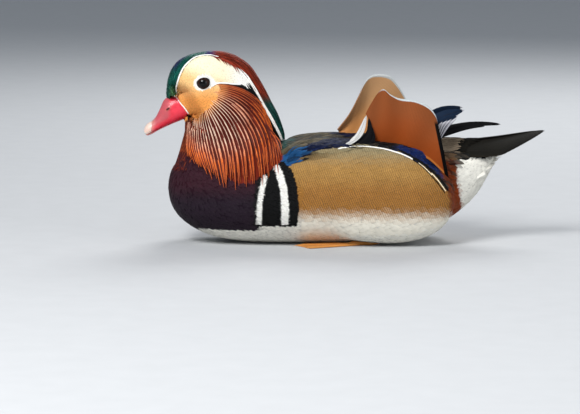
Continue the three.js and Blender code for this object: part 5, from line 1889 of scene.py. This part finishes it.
def build_stage():
    """A pale floor, soft studio lights and the camera at the side view's angle."""
    bm = bmesh.new()
    bmesh.ops.create_grid(bm, x_segments=1, y_segments=1, size=6000)
    floor = finish_mesh(bm, "floor", False)
    recipe = Recipe("floor paper")
    fine = recipe.noise(40.0, 2.0)
    floor.data.materials.append(recipe.finish(recipe.mix(fine, (0.5, 0.51, 0.52), (0.54, 0.55, 0.56)), 0.8))
    world = bpy.data.worlds.new("studio")
    world.use_nodes = True
    background = world.node_tree.nodes["Background"]
    background.inputs["Color"].default_value = (0.62, 0.68, 0.76, 1)
    background.inputs["Strength"].default_value = 0.45
    bpy.context.scene.view_settings.view_transform = "Standard"
    bpy.context.scene.world = world
    for name, place, size, energy in (
        ("key", (-0.75, -1.3, 1.35), 0.8, 38),
        ("fill", (1.4, -1.2, 0.6), 1.2, 8),
        ("rim", (0.4, 1.4, 1.3), 0.9, 20),
    ):
        data = bpy.data.lights.new(name, "AREA")
        data.size = size
        data.energy = energy
        light = bpy.data.objects.new(name, data)
        light.location = place
        aim = Vector((-0.02, 0, 0.08)) - Vector(place)
        light.rotation_euler = aim.to_track_quat("-Z", "Y").to_euler()
        bpy.context.scene.collection.objects.link(light)
    data = bpy.data.cameras.new("camera")
    data.lens = 200
    data.sensor_width = 36
    camera = bpy.data.objects.new("camera", data)
    tilt = math.radians(7)
    aim = Vector((-0.0469, 0, 0.029))
    back = Vector((0, -math.cos(tilt), math.sin(tilt)))
    camera.location = aim + back * 2.772
    camera.rotation_euler = (-back).to_track_quat("-Z", "Y").to_euler()
    data.clip_end = 50
    bpy.context.scene.collection.objects.link(camera)
    bpy.context.scene.camera = camera


made = {}


def colour_of(name, description, hexadecimal):
    """A colour that the user can change."""
    return bpy.props.FloatVectorProperty(
        name=name, description=description, subtype="COLOR", size=3, min=0.0, max=1.0,
            default=linear(hexadecimal)
    )


def size_of(name, description, millimetres):
    """A size that the user can change."""
    return bpy.props.FloatProperty(
        name=name, description=description, subtype="DISTANCE", unit="LENGTH", min=0.0, default=millimetres
            * MM
    )


class DUCK_PG_colours(bpy.types.PropertyGroup):
    """Colours of the plumage"""

    purple: colour_of("Forehead purple", "Front and top rim of the forehead", "#2c2562")
    green: colour_of("Forehead green", "Forehead next to the white line", "#0f5a4e")
    olive: colour_of("Forehead olive", "Glint of the forehead over the bill", "#5d7f45")
    copper: colour_of("Crown copper", "Plumes of the crown", "#7d2a18")
    crest_green: colour_of("Crest green", "Plumes of the nape", "#123e38")
    cream: colour_of("Cream", "Face above the eye", "#fdf0cd")
    buff: colour_of("Buff", "Face in front of the eye", "#f9c987")
    ochre: colour_of("Ochre", "Cheek", "#f0a052")
    white: colour_of("White", "Lines, bars and the band behind the eye", "#faf8f1")
    black: colour_of("Black", "Bars and the edge of the ear", "#08090a")
    rust: colour_of("Rust", "Lower hackles and throat", "#98421c")
    throat: colour_of("Throat brown", "Throat under the bill", "#5c2a18")
    maroon: colour_of("Maroon", "Ground colour of the hackles", "#70200f")
    breast: colour_of("Breast purple", "Breast", "#32141f")
    # Darker lower breast: painted shade, together with the darker tone of wet feathers
    breast_dark: colour_of("Breast dark", "Lower breast", "#201420")
    bronze: colour_of("Bronze", "Back", "#3e362b")
    dusk: colour_of("Dusk", "Dull blue green of some shoulder feathers", "#34474c")
    olive_brown: colour_of("Olive brown", "Upper shoulder", "#625842")
    scapular_blue: colour_of("Shoulder blue", "Lower shoulder", "#071436")
    # Painted glint: turquoise on the blue feathers of the shoulder's front corner
    turquoise_glint: colour_of("Turquoise", "Front corner of the shoulder", "#1e5182")
    wing_blue: colour_of("Wing blue", "Edge of the wing under the sail", "#0f2256")
    flank: colour_of("Flank", "Middle of the flank", "#ab8246")
    flank_grey: colour_of("Flank grey", "Top of the flank", "#928768")
    flank_low: colour_of("Flank low", "Lower flank", "#a0682a")
    rump: colour_of("Rump", "Rump above the tail", "#7a5c3c")
    tail: colour_of("Tail", "Base of the tail", "#161512")
    stripe: colour_of("Stripe", "Red stripe before the white under the tail", "#80350f")
    belly: colour_of("Belly", "Belly and under the tail", "#f0ede2")


class DUCK_PG_sizes(bpy.types.PropertyGroup):
    """Sizes of the eyes and feathers"""

    coat_depth: size_of("Coat depth", "How far the skin lies under the plumage", 1.0)
    eye_radius: size_of("Eye radius", "Radius of the eyeballs", 6.4)
    eye_sink: size_of("Eye depth", "Depth of the eyeball's centre under the head's surface", 4.2)
    eye_long: size_of("Eye half length", "Half the length of the opening between the lids", 5.5)
    eye_high: size_of("Eye half height", "Half the height of the opening between the lids", 4.55)
    hackle_width: size_of("Hackle width", "Width of the mane's feathers", 3.4)
    crest_width: size_of("Crest feather width", "Width of the crest's plumes", 1.7)
    face_feather: size_of("Face feather length", "Length of the feathers of the face", 3.2)
    breast_feather: size_of("Breast feather length", "Length of the feathers of the breast", 6.5)
    flank_feather: size_of("Flank feather length", "Length of the feathers of the flank", 9.0)
    shoulder_feather: size_of("Shoulder feather length", "Length of the feathers of the shoulder", 13.0)
    back_feather: size_of("Back feather length", "Length of the feathers of the back", 10.0)
    sail_thick: size_of("Sail thickness", "Thickness of the two upright orange feathers", 0.8)
    tail_width: size_of("Tail feather width", "Width of the tail's feathers", 10.5)


def read_settings(scene):
    """Takes over the colours and sizes of the scene's settings."""
    for name in DUCK_PG_colours.__annotations__:
        PAINT[name] = np.array(getattr(scene.duck_colours, name), float)
    for name in DUCK_PG_sizes.__annotations__:
        SIZE[name] = getattr(scene.duck_sizes, name) / MM


class DUCK_OT_skin(bpy.types.Operator):
    """Build the bare bird under the feathers"""

    bl_idname = "duck.skin"
    bl_label = "Skin"

    def execute(self, context):
        read_settings(context.scene)
        obj = build_skin()
        add_tint(obj)
        obj.data.materials.append(skin_material())
        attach(obj, "root")
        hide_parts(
            "head", "neck", "breast", "torso", "rump", "flank_left", "flank_right", "shoulder_left",
            "shoulder_right",
        )
        made["skin"] = Skin(obj.data)
        made["object"] = obj
        return {"FINISHED"}


class DUCK_OT_coats(bpy.types.Operator):
    """Lay the short feathers over the skin"""

    bl_idname = "duck.coats"
    bl_label = "Short feathers"

    def execute(self, context):
        build_coats(made["skin"], made["object"])
        return {"FINISHED"}


class DUCK_OT_mane(bpy.types.Operator):
    """Lay the hackles of the neck"""

    bl_idname = "duck.mane"
    bl_label = "Mane"

    def execute(self, context):
        look = hackle_material()
        for name, side in SIDES:
            obj = build_mane(made["skin"], side, f"hackles_{name}", look)
            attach(obj, "root")
            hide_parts(f"mane_{name}")
        return {"FINISHED"}


class DUCK_OT_crest(bpy.types.Operator):
    """Lay the plumes of the crest"""

    bl_idname = "duck.crest"
    bl_label = "Crest"

    def execute(self, context):
        look = plumage_material("crest plumes", barbs=16.0, shaft=0.25, fringe=0.0, rough=0.42, shine=0.5)
        obj = build_crest(made["skin"], look)
        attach(obj, "root")
        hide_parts("crest")
        return {"FINISHED"}


class DUCK_OT_bill(bpy.types.Operator):
    """Build the bill with its nail"""

    bl_idname = "duck.bill"
    bl_label = "Bill"

    def execute(self, context):
        build_bill()
        return {"FINISHED"}


class DUCK_OT_eyes(bpy.types.Operator):
    """Build the eyes and their lids"""

    bl_idname = "duck.eyes"
    bl_label = "Eyes"

    def execute(self, context):
        build_eyes()
        return {"FINISHED"}


class DUCK_OT_wings(bpy.types.Operator):
    """Build the large feathers of the folded wings"""

    bl_idname = "duck.wings"
    bl_label = "Wings"

    def execute(self, context):
        build_scapulars()
        build_sails()
        build_flight()
        return {"FINISHED"}


class DUCK_OT_tail(bpy.types.Operator):
    """Build the tail"""

    bl_idname = "duck.tail"
    bl_label = "Tail"

    def execute(self, context):
        build_tail()
        return {"FINISHED"}


class DUCK_OT_feet(bpy.types.Operator):
    """Build the webbed feet"""

    bl_idname = "duck.feet"
    bl_label = "Feet"

    def execute(self, context):
        build_feet()
        return {"FINISHED"}


class DUCK_OT_stage(bpy.types.Operator):
    """Build the floor, the lights and the camera"""

    bl_idname = "duck.stage"
    bl_label = "Stage"

    def execute(self, context):
        build_stage()
        return {"FINISHED"}


OPERATORS = (
    DUCK_OT_skin, DUCK_OT_coats, DUCK_OT_mane, DUCK_OT_crest, DUCK_OT_bill, DUCK_OT_eyes, DUCK_OT_wings,
    DUCK_OT_tail, DUCK_OT_feet, DUCK_OT_stage,
)


class DUCK_PT_panel(bpy.types.Panel):
    """Lists the duck's pieces"""

    bl_label = "Duck"
    bl_space_type = "VIEW_3D"
    bl_region_type = "UI"
    bl_category = "Duck"

    def draw(self, context):
        for operator in OPERATORS:
            self.layout.operator(operator.bl_idname)
        for group in (context.scene.duck_sizes, context.scene.duck_colours):
            for name in type(group).__annotations__:
                self.layout.prop(group, name)


CLASSES = (DUCK_PG_colours, DUCK_PG_sizes, *OPERATORS, DUCK_PT_panel)


def register():
    for cls in CLASSES:
        bpy.utils.register_class(cls)
    bpy.types.Scene.duck_colours = bpy.props.PointerProperty(type=DUCK_PG_colours)
    bpy.types.Scene.duck_sizes = bpy.props.PointerProperty(type=DUCK_PG_sizes)


def unregister():
    del bpy.types.Scene.duck_sizes
    del bpy.types.Scene.duck_colours
    for cls in reversed(CLASSES):
        bpy.utils.unregister_class(cls)


def main():
    register()
    bpy.ops.duck.skin()
    bpy.ops.duck.coats()
    bpy.ops.duck.mane()
    bpy.ops.duck.crest()
    bpy.ops.duck.bill()
    bpy.ops.duck.eyes()
    bpy.ops.duck.wings()
    bpy.ops.duck.tail()
    bpy.ops.duck.feet()
    bpy.ops.duck.stage()


if __name__ == "__main__":
    main()
